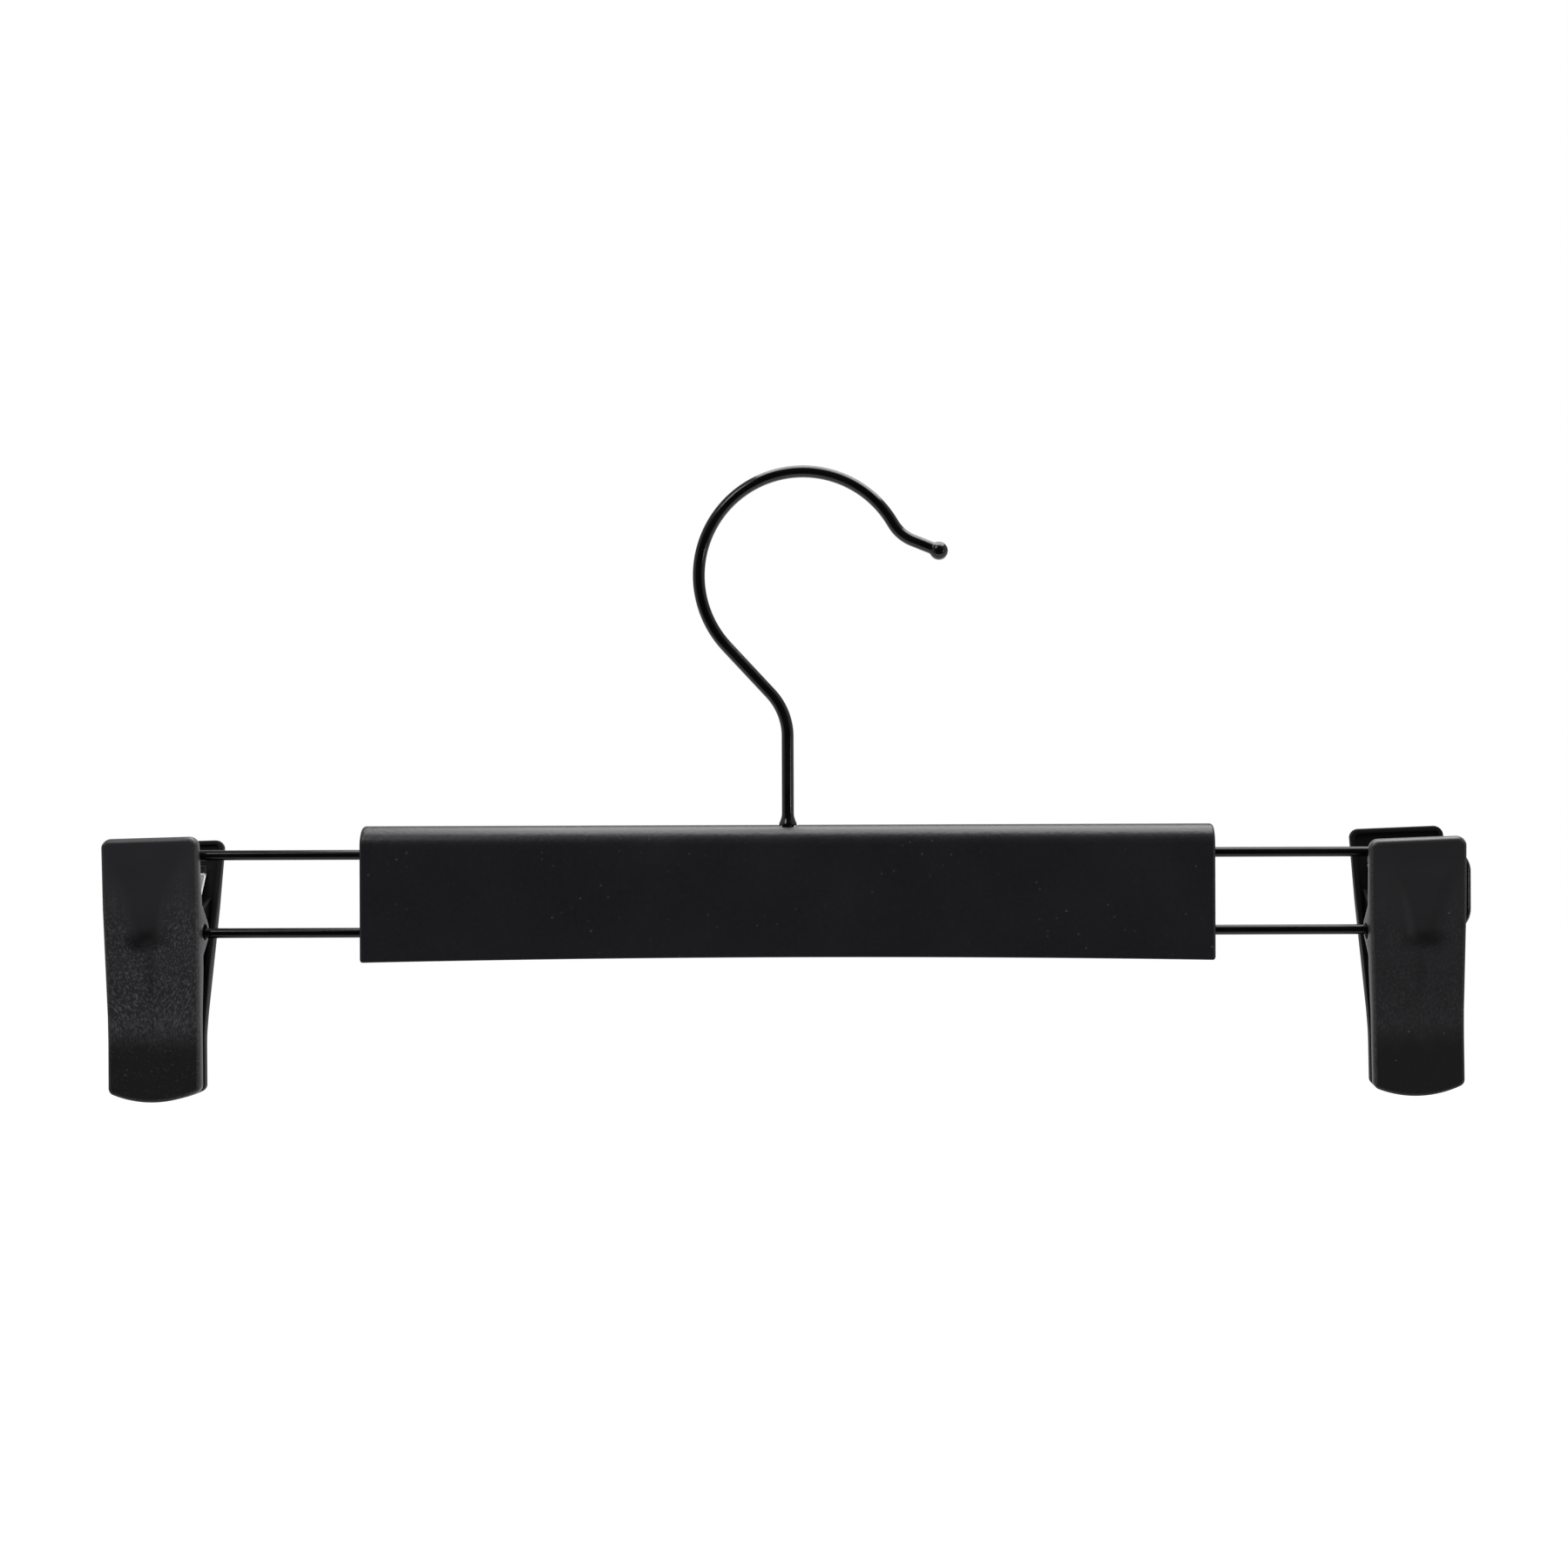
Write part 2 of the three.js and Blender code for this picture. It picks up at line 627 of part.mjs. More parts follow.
// Leaf spring: a strip bent under the wire, its two legs pressing the finger ends apart
function spring(inwards) {
  const half = SPRING_THICKNESS / 2;
  const bendRadius = wireRadius + SPRING_WIRE_GAP + half;
  const legOffset = PLATE_WALL + FIT_CLEARANCE + half;
  const frontKnee = [legOffset - front.face(SPRING_FRONT_REACH), SPRING_FRONT_REACH];
  const backKnee = [back.face(SPRING_BACK_REACH) - legOffset, SPRING_BACK_REACH];
  const from = tangentAngle(frontKnee[0], frontKnee[1], bendRadius, 1);
  const to = tangentAngle(backKnee[0], backKnee[1], bendRadius, -1) + 2 * Math.PI;
  const steps = Math.ceil((to - from) / radians(2 * BEND_STEP));
  const line = [[frontKnee[0] + SPRING_CURL_DRAW, frontKnee[1] + SPRING_CURL_RISE], frontKnee];
  for (let i = 0; i <= steps; i += 1) {
    const angle = from + (to - from) * i / steps;
    line.push([bendRadius * Math.cos(angle), bendRadius * Math.sin(angle)]);
  }
  line.push(backKnee, [backKnee[0] - SPRING_CURL_DRAW, backKnee[1] + SPRING_CURL_RISE]);
  const middleEnd = middleEarFace - earStep - SPRING_SIDE_GAP;
  const farEnd = endEarFace - earStep - SPRING_SIDE_GAP;
  return extrudeX(stripShape(line, half), middleEnd + farEnd)
    .translate([inwards * (middleEnd - farEnd) / 2, 0, 0]);
}

// A strip of even thickness along a line of points
function stripShape(line, half) {
  const points = line.map(([y, z]) => new THREE.Vector2(y, z));
  const edge = [];
  const otherEdge = [];
  points.forEach((point, i) => {
    const before = points[Math.max(i - 1, 0)];
    const after = points[Math.min(i + 1, points.length - 1)];
    const into = i > 0 ? point.clone().sub(before).normalize() : after.clone().sub(point).normalize();
    const out = i < points.length - 1 ? after.clone().sub(point).normalize() : into;
    const along = into.clone().add(out).normalize();
    const offset = new THREE.Vector2(-along.y, along.x).multiplyScalar(half / along.dot(into));
    edge.push(point.clone().add(offset));
    otherEdge.unshift(point.clone().sub(offset));
  });
  return new THREE.Shape([...edge, ...otherEdge]);
}

// A clip at x on the lower wire. The scoops stand a little towards the hanger's end.
function clip(name, x, lean, roll) {
  const group = new THREE.Group();
  const inwards = -Math.sign(x);
  const scoopX = -inwards * SCOOP_OFFSET;
  const frontHalf = new THREE.Group();
  frontHalf.rotation.z = Math.PI;
  frontHalf.add(piece(`${name}_front_plate`, frontPlate(-inwards, -scoopX), materials.clip));
  frontHalf.add(piece(`${name}_front_pad`, pad(front), materials.rubber));
  group.add(frontHalf);
  group.add(piece(`${name}_back_plate`, backPlate(inwards, scoopX), materials.clip));
  group.add(piece(`${name}_back_pad`, pad(back), materials.rubber));
  group.add(piece(`${name}_spring`, spring(inwards), materials.steel));
  group.position.set(x, 0, lowerWireZ);
  group.rotation.set(radians(lean), radians(roll), 0);
  return group;
}

const hanger = new THREE.Group();
hanger.add(piece('hook', hook(), materials.wire));
hanger.add(piece('hook_washer', washer(), materials.steel));
hanger.add(piece('hook_saddle', saddle(), materials.insert));
hanger.add(piece('bar_cover', barCover(), materials.bar));
hanger.add(piece('wire_frame', wireFrame(), materials.wire));
for (const [name, x] of [['left', -spacerX], ['right', spacerX]]) {
  const mesh = piece(`${name}_wire_spacer`, spacer(), materials.insert);
  mesh.position.x = x;
  hanger.add(mesh);
}
hanger.add(clip('left', leftClipX, LEFT_LEAN, LEFT_ROLL));
hanger.add(clip('right', rightClipX, RIGHT_LEAN, RIGHT_ROLL));
hanger.position.z = -railSeatZ();

const root = new THREE.Group();
root.add(hanger);

export default root;
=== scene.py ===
import json
import math

import bmesh
import bpy
import numpy as np
from mathutils import Matrix, Vector


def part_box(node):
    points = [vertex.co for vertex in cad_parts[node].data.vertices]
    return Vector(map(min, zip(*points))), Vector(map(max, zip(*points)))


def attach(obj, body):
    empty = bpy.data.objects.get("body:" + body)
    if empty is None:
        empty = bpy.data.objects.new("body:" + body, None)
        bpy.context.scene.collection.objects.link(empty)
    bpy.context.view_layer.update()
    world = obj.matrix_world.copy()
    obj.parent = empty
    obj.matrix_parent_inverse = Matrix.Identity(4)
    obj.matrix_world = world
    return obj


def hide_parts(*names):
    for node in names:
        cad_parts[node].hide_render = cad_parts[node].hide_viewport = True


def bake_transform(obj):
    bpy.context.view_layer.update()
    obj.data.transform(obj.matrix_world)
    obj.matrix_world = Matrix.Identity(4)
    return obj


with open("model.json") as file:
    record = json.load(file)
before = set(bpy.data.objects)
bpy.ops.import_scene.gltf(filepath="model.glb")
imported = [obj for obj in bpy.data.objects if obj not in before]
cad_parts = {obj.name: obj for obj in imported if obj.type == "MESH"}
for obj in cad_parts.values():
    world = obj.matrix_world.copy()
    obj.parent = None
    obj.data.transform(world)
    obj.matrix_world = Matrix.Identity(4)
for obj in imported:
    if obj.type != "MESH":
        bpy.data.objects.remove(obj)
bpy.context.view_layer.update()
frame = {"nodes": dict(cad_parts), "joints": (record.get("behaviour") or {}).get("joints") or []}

# Sizes are in millimetres, in the row's frame, until a mesh is made
MM = 0.001


def box_mm(node):
    low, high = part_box(node)
    return [v / MM for v in low], [v / MM for v in high]


cover_low, cover_high = box_mm("bar_cover")
loop_low, loop_high = box_mm("wire_frame")
hook_low = box_mm("hook")[0]
joints = {j["name"]: j for j in frame["joints"]}

# All pieces: the play between two of them, their soft edges and the angle up to which faces look smooth
FIT = 0.3
SOFT_EDGE = 0.15
SMOOTH_DEG = 38
# Points of a mesh closer than this, in metres, become one
MERGE = 1e-7
# Further off than any point of a clip
FAR = 99.0

# Wire loop
WIRE_RADIUS = (loop_high[1] - loop_low[1]) / 2
LOOP_HALF = loop_high[0] - WIRE_RADIUS
UPPER_WIRE_Z = loop_high[2] - WIRE_RADIUS
LOWER_WIRE_Z = loop_low[2] + WIRE_RADIUS
WIRE_CORNER_RADIUS = 5.0
WIRE_END_GAP = 0.4
WIRE_SIDES = 24

# Hook
HOOK_RADIUS, HOOK_SIDES = 1.5, 32
STEM_ABOVE_COVER = 21.8
NECK_RADIUS, NECK_TURN, NECK_LENGTH = 15.6, 42.9, 15.8
CROWN_RADIUS, CROWN_TURN = 25.7, 192.9
TIP_BEND_RADIUS, TIP_TURN, TIP_LENGTH, TIP_STEP = 10.0, 38.2, 6.9, 0.4
BALL_RADIUS, BALL_START, BALL_POWER, BALL_END = 2.25, 2.8, 9, 0.02
HEAD_RADIUS, HEAD_THICKNESS, HEAD_RIM = 2.5, 1.1, 0.1
SHOULDER_RADIUS, SHOULDER_HEIGHT = 2.25, 3.0
FLARE_START, FLARE_POWER = 0.5, 1.7
# Round lower edges of the peened head and the shoulder: (rise, inset)
HEAD_EDGE = ((0, 0.7), (0.15, 0.35), (0.45, 0.05), (0.75, 0))
SHOULDER_EDGE = ((0, 0.3), (0.1, 0.09), (0.3, 0))
# The seat in the cover's crest that the shoulder turns in
SEAT_DEPTH, SEAT_CHAMFER = 0.55, 0.15
SEAT_CUT_ABOVE, SEAT_CUT_FLARE = 0.6, 0.5

# Bar cover
COVER_HALF = cover_high[0]
COVER_OUTER = cover_high[1]
COVER_WALL = 1.2
COVER_TOP, COVER_BOTTOM = cover_high[2], cover_low[2]
CREST_Z = COVER_TOP - COVER_OUTER
COVER_ARCH = 1.0
COVER_END_ROUND, COVER_INNER_ROUND = 0.8, 0.2
COVER_LIP, COVER_LIP_SHARE = 0.35, 0.45
COVER_SUPPORT = 0.8

# Clip plates, measured from the wire that they turn on
CLIP_HALF, JAW_HALF = 11.75, 11.2
PLATE_ABOVE, PLATE_BELOW = 23.4, 41.2
FRONT_STANDOFF, FRONT_SLOPE_DEG = 5.4, 3.3
BACK_STANDOFF, BACK_SLOPE_DEG = 10.7, 17.0
TAPER_START, TAPER_END = 6.0, -20.0
TOP_CORNER, END_RADIUS, END_CORNER = 2.2, 25.5, 1.8
PLATE_WALL, JAW_WALL, SIDE_WALL = 1.8, 1.35, 1.2
RIM_TOP, RIM_LOW, RIM_LOW_DROP = 2.4, 4.2, 9.0
JAW_LENGTH, JAW_RIM_GAP, PAD_GAP = 15.8, 0.45, 0.15
JAW_TOP = JAW_LENGTH - PLATE_BELOW
JAW_BEND, JAW_WALL_CHANGE = 1.6, 3.0
FACE_FILLET, TOP_FILLET, RIM_ROUND, INNER_FILLET = 0.7, 1.45, 0.25, 0.3
TOP_FACING = 0.9
RIM_SUPPORT = 0.3
EAR_HOLE, EAR_RADIUS, EAR_ROOT = 2.05, 3.25, 9.0
EAR_THICKNESS, EAR_GAP, EAR_INSET = 1.2, 0.3, 4.2
EAR_STEP = EAR_THICKNESS + EAR_GAP
# Inner faces of the front plate's ears: the one towards the hanger's middle and the one towards its end
MIDDLE_EAR, END_EAR = JAW_HALF - EAR_THICKNESS, CLIP_HALF - EAR_INSET - EAR_THICKNESS
PAD_INSET, PAD_CORNER, PAD_DROP = SIDE_WALL + FIT, 0.6, 1.0
PAD_RIB_PITCH, PAD_RIB_DEPTH, PAD_RIB_FLANK = 1.6, 0.45, 0.34
SCOOP_TOP, SCOOP_BOTTOM, SCOOP_OFFSET = 19.5, -3.2, 1.3
SCOOP_END, SCOOP_TOP_HALF, SCOOP_WIDENING = 4.4, 10.2, 1.5
SCOOP_DEPTH, SCOOP_TOP_DEPTH = 1.1, 0.02
SCOOP_EDGE, SCOOP_MARGIN, SCOOP_FADE = 3.2, 0.5, 6.0
# Faces across and along a plate and a pad
PLATE_GRID, PAD_GRID = (44, 150), (24, 96)

# Marks for the finish of a plate and for its painted shade: each runs from none at the first place to full at
# the second
OUTSIDE_DEPTH = (1.6, 0.8)
WEAR_INSET, WEAR_DEPTH = (0.95, 0.35), (1.0, 0.55)
WALL_INSET = (0.7, 0.3)
SCOOP_SHEEN = (2.4, -2.4)
SCUFF_MIDDLE, SCUFF_TOP, SCUFF_BOTTOM = (-3, 3), (20, 5), (-29, -20)
BAND_BOTTOM, BAND_TOP = (-28.5, -25.5), (-19, -22.5)
JAW_SHADE_LIMITS, UPPER_PALE = (-21, -31), (-2, 8)
RIM_SHINE = (PLATE_ABOVE - 1.7, PLATE_ABOVE - 0.5)
# How far the limits of the scuffs and of the jaw's painted shade wander
FINISH_AND_SHADE_DRIFT = 8
# The painted shade at the scoop's foot and the fainter painted shade below it: shift with the scoop, height,
# half-sizes
FOOT_SHIFT, FOOT_Z, FOOT_HALVES = 1.5, SCOOP_BOTTOM + 1.3, (8, 3.6)
LOWER_SHADE_SHIFT, LOWER_SHADE_Z, LOWER_SHADE_HALVES = 0.3, -10, (1.8, 9)
LOWER_SHADE_CORE, LOWER_SHADE_DEPTH = 0.2, 0.3

# Springs
SPRING_SIDE_GAP = 0.35
SPRING_MIDDLE, SPRING_END = MIDDLE_EAR - EAR_STEP - SPRING_SIDE_GAP, END_EAR - EAR_STEP - SPRING_SIDE_GAP
SPRING_THICKNESS, SPRING_EDGE, SPRING_WIRE_GAP = 0.5, 0.16, 0.35
SPRING_FRONT_REACH, SPRING_BACK_REACH = 12.0, 15.0
SPRING_KNEE, SPRING_CURL_RISE, SPRING_CURL_DRAW = 0.9, 1.8, 0.6


# Meshes

def even_shares(steps):
    """Even shares of a length, from the first step to the whole."""
    return np.linspace(0, 1, steps + 1)[1:]


def quarter_turn(steps):
    """Shares along a quarter round: one that falls from 1 to 0 and one that rises from 0 to 1."""
    return [(1 - math.sin(a), 1 - math.cos(a)) for a in np.linspace(0, np.pi / 2, steps)]


def circle(radius, sides=48):
    angle = np.linspace(0, 2 * np.pi, sides, endpoint=False)
    return radius * np.cos(angle), radius * np.sin(angle)


def smoothstep(low, high, value):
    share = np.clip((value - low) / (high - low), 0, 1)
    return share * share * (3 - 2 * share)


def placed(points, place):
    return np.asarray(points) @ np.array(place.to_3x3()).T + np.array(place.translation)


def shade(obj):
    mesh = obj.data
    mesh.polygons.foreach_set("use_smooth", [True] * len(mesh.polygons))
    mesh.set_sharp_from_angle(angle=math.radians(SMOOTH_DEG))


def link(name, verts, faces):
    """A mesh object from points in millimetres."""
    mesh = bpy.data.meshes.new(name)
    mesh.from_pydata((np.asarray(verts, float) * MM).tolist(), [], faces)
    work = bmesh.new()
    work.from_mesh(mesh)
    bmesh.ops.remove_doubles(work, verts=work.verts, dist=MERGE)
    bmesh.ops.recalc_face_normals(work, faces=work.faces)
    work.to_mesh(mesh)
    work.free()
    obj = bpy.data.objects.new(name, mesh)
    bpy.context.scene.collection.objects.link(obj)
    shade(obj)
    return obj


def ring_faces(rings, count):
    """Faces between neighbouring rings of count points each."""
    faces = []
    for start in range(0, (rings - 1) * count, count):
        for k in range(count):
            a = start + k
            b = start + (k + 1) % count
            faces.append((a, b, b + count, a + count))
    return faces


def swept(name, rings):
    """A solid through a row of equal rings, closed by a flat face at each end."""
    count = len(rings[0])
    verts = np.concatenate([np.asarray(r, float) for r in rings])
    ends = [tuple(range(count)), tuple(range(len(verts) - 1, len(verts) - 1 - count, -1))]
    return link(name, verts, ends + ring_faces(len(rings), count))


def combine(obj, other, operation="DIFFERENCE"):
    """Cuts or joins another mesh with obj and removes it."""
    modifier = obj.modifiers.new("combine", "BOOLEAN")
    modifier.object = other
    modifier.operation = operation
    modifier.solver = "EXACT"
    graph = bpy.context.evaluated_depsgraph_get()
    mesh = bpy.data.meshes.new_from_object(obj.evaluated_get(graph))
    obj.modifiers.clear()
    old = obj.data
    obj.data = mesh
    bpy.data.meshes.remove(old)
    bpy.data.objects.remove(other)
    obj.data.name = obj.name
    shade(obj)


def settle(obj, body, nodes, material):
    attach(obj, body)
    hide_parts(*nodes)
    obj.data.materials.clear()
    obj.data.materials.append(material)


# Bent wires

class WirePath:
    """A wire's centre-line in the XZ plane as (x, z, heading) stations."""

    def __init__(self, x, z, heading):
        self.x, self.z, self.heading = x, z, math.radians(heading)
        self.stations = [(x, z, self.heading)]

    def straight(self, length, shares):
        x, z = self.x, self.z
        for share in shares:
            self.x = x + share * length * math.cos(self.heading)
            self.z = z + share * length * math.sin(self.heading)
            self.stations.append((self.x, self.z, self.heading))
        return self

    def bend(self, radius, turn, step=3.0):
        steps = math.ceil(abs(turn) / step)
        side = math.copysign(radius, turn)
        centre_x = self.x - side * math.sin(self.heading)
        centre_z = self.z + side * math.cos(self.heading)
        for _ in range(steps):
            self.heading += math.radians(turn) / steps
            self.x = centre_x + side * math.sin(self.heading)
            self.z = centre_z - side * math.cos(self.heading)
            self.stations.append((self.x, self.z, self.heading))
        return self


def wire_ring(station, radius, sides):
    x, z, heading = station
    across, out = circle(radius, sides)
    return np.stack([x - across * math.sin(heading), out, z + across * math.cos(heading)], axis=1)


def make_wire_frame():
    run = LOOP_HALF - WIRE_CORNER_RADIUS
    end = UPPER_WIRE_Z - LOWER_WIRE_Z - 2 * WIRE_CORNER_RADIUS
    lower = run - WIRE_END_GAP / 2
    even = even_shares(12)
    path = WirePath(WIRE_END_GAP / 2, LOWER_WIRE_Z, 0).straight(lower, even)
    for length in (end, 2 * run, end, lower):
        path.bend(WIRE_CORNER_RADIUS, 90, step=6).straight(length, even)
    return swept("loop_wire", [wire_ring(s, WIRE_RADIUS, WIRE_SIDES) for s in path.stations])


def hook_stem(bottom, shoulder):
    """The stem from its peened head up to the end of the shoulder's flare: (height, radius)."""
    head = bottom + HEAD_THICKNESS
    stem = [(bottom + rise, HEAD_RADIUS - inset) for rise, inset in HEAD_EDGE]
    stem += [(head - HEAD_RIM, HEAD_RADIUS), (head, HEAD_RADIUS - HEAD_RIM), (head, HOOK_RADIUS)]
    stem.append((shoulder, HOOK_RADIUS))
    stem += [(shoulder + rise, SHOULDER_RADIUS - inset) for rise, inset in SHOULDER_EDGE]
    flare = SHOULDER_RADIUS - HOOK_RADIUS
    for share in even_shares(12):
        height = shoulder + FLARE_START + share * (SHOULDER_HEIGHT - FLARE_START)
        stem.append((height, HOOK_RADIUS + flare * (1 - share) ** FLARE_POWER))
    return stem


def make_hook():
    shoulder = COVER_TOP - SEAT_DEPTH + FIT
    rings = [wire_ring((0, z, math.pi / 2), r, HOOK_SIDES) for z, r in hook_stem(hook_low[2], shoulder)]
    start = shoulder + SHOULDER_HEIGHT
    path = WirePath(0, start, 90).straight(COVER_TOP + STEM_ABOVE_COVER - start, even_shares(6))
    path.bend(NECK_RADIUS, NECK_TURN).straight(NECK_LENGTH, even_shares(5))
    path.bend(CROWN_RADIUS, -CROWN_TURN).bend(TIP_BEND_RADIUS, TIP_TURN)
    rings += [wire_ring(s, HOOK_RADIUS, HOOK_SIDES) for s in path.stations[1:]]
    x, z, heading = path.stations[-1]
    # A few rings along the plain tip, then close ones over the ball
    plain = np.linspace(TIP_STEP, TIP_LENGTH - BALL_START - TIP_STEP / 2, 5)
    swelling = np.linspace(TIP_LENGTH - BALL_START, TIP_LENGTH + BALL_RADIUS, 27)
    for along in [*plain, *swelling]:
        away = along - TIP_LENGTH
        radius = math.sqrt(max(BALL_RADIUS ** 2 - away ** 2, BALL_END ** 2))
        if away < 0:
            radius = (HOOK_RADIUS ** BALL_POWER + radius ** BALL_POWER) ** (1 / BALL_POWER)
        station = (x + along * math.cos(heading), z + along * math.sin(heading), heading)
        rings.append(wire_ring(station, radius, HOOK_SIDES))
    return swept("hook_wire", rings)


# Bar cover

def cover_ring(x, inset, inner_inset):
    """The channel's section at x: outside from lip to lip, then back along the inside."""
    outer = COVER_OUTER - inset
    inner = COVER_OUTER - COVER_WALL + inner_inset
    lip = min(COVER_LIP, COVER_LIP_SHARE * (outer - inner))
    bottom = COVER_BOTTOM + COVER_ARCH * (1 - (x / COVER_HALF) ** 2) + inset
    quarter = np.linspace(-np.pi / 2, 0, 6)
    crest = np.linspace(0, np.pi, 41)

    def skin(radius, edge, side):
        """One skin's outline over the crest, from one lip to the other, with support points."""
        start = [(edge + side * lip * math.cos(a), bottom + lip + lip * math.sin(a)) for a in quarter]
        rise = [(radius, bottom + lip + COVER_SUPPORT), (radius, CREST_Z - COVER_SUPPORT)]
        arch = [(radius * math.cos(a), CREST_Z + radius * math.sin(a)) for a in crest]
        return start + rise + arch + [(-y, z) for y, z in reversed(start + rise)]

    outside = skin(outer, outer - lip, 1)
    inside = skin(inner, inner + lip, -1)
    return np.array([(x, y, z) for y, z in outside + inside[::-1]])


def make_bar_cover():
    right = [(x, 0, 0) for x in np.linspace(0, COVER_HALF - 2 * COVER_END_ROUND, 25)]
    for falling, rising in quarter_turn(8):
        right.append((COVER_HALF - COVER_END_ROUND * falling, COVER_END_ROUND * rising,
                      COVER_INNER_ROUND * rising))
    left = [(-x, a, b) for x, a, b in reversed(right[1:])]
    rings = [cover_ring(*s) for s in left + right]
    count = len(rings[0])
    verts = np.concatenate(rings)
    faces = ring_faces(len(rings), count)
    for start in (0, len(verts) - count):
        for k in range(count // 2 - 1):
            faces.append((start + k, start + k + 1, start + count - 2 - k, start + count - 1 - k))
    cover = link("cover_channel", verts, faces)
    hole, seat = HOOK_RADIUS + FIT, SHOULDER_RADIUS + FIT
    profile = [(COVER_TOP - 2 * COVER_WALL, hole), (COVER_TOP - SEAT_DEPTH, hole),
               (COVER_TOP - SEAT_DEPTH, seat), (COVER_TOP - SEAT_CHAMFER, seat),
               (COVER_TOP + SEAT_CUT_ABOVE, seat + SEAT_CUT_FLARE)]
    cuts = []
    for z, radius in profile:
        x, y = circle(radius)
        cuts.append(np.stack([x, y, np.full(len(x), z)], axis=1))
    combine(cover, swept("cutter", cuts))
    return cover


# Clip plates and pads: x across, z up from the pivot, y outwards from the pivot to the plate

class Side:
    """A plate's side view: its outer face, its jaw and where it clamps."""

    def __init__(self, standoff, slope_deg):
        self.slope = math.tan(math.radians(slope_deg))
        self.jaw = standoff + self.slope * JAW_TOP
        self.clamp = 0.0

    def straight(self, z):
        return self.jaw + self.slope * (z - JAW_TOP)

    def face(self, z):
        """The outer face, softly bent where the jaw begins."""
        rise = z - JAW_TOP
        return self.jaw + self.slope * (rise + np.sqrt(rise ** 2 + JAW_BEND ** 2)) / 2

    def hollow(self, z):
        """The inner face, with a thinner wall in the jaw."""
        share = np.clip((z - JAW_TOP) / JAW_WALL_CHANGE, 0, 1)
        return self.face(z) - JAW_WALL - (PLATE_WALL - JAW_WALL) * share

    def rim(self, z):
        """The edge of the side walls, away from the outer face."""
        grip = self.clamp + JAW_RIM_GAP
        low = self.straight(-RIM_LOW_DROP) - RIM_LOW
        top = self.straight(PLATE_ABOVE) - RIM_TOP
        return np.interp(z, [-PLATE_BELOW, JAW_TOP, -RIM_LOW_DROP, PLATE_ABOVE], [grip, grip, low, top])

    def ear_points(self):
        """Roots of the ear on the wall and the angles where its edges meet the disc round the wire."""
        upper = (self.straight(EAR_ROOT) - PLATE_WALL / 2, EAR_ROOT)
        lower = (self.straight(-EAR_ROOT) - PLATE_WALL / 2, -EAR_ROOT)
        start = math.atan2(upper[1], upper[0]) + math.acos(EAR_RADIUS / math.hypot(*upper))
        end = math.atan2(lower[1], lower[0]) - math.acos(EAR_RADIUS / math.hypot(*lower)) + 2 * math.pi
        return upper, lower, start, end

    def ear(self, z):
        """The far edge of the ear at a height, or far outside where there is none."""
        upper, lower, start, end = self.ear_points()
        high = (EAR_RADIUS * math.cos(start), EAR_RADIUS * math.sin(start))
        low = (EAR_RADIUS * math.cos(end), EAR_RADIUS * math.sin(end))
        edge = np.interp(z, [lower[1], low[1], high[1], upper[1]], [lower[0], low[0], high[0], upper[0]],
                         left=FAR, right=FAR)
        disc = -np.sqrt(np.clip(EAR_RADIUS ** 2 - z ** 2, 0, None))
        return np.where((z > low[1]) & (z < high[1]), disc, edge)


front = Side(FRONT_STANDOFF, FRONT_SLOPE_DEG)
back = Side(BACK_STANDOFF, BACK_SLOPE_DEG)
front.clamp = (front.jaw - back.jaw) / 2
back.clamp = -front.clamp


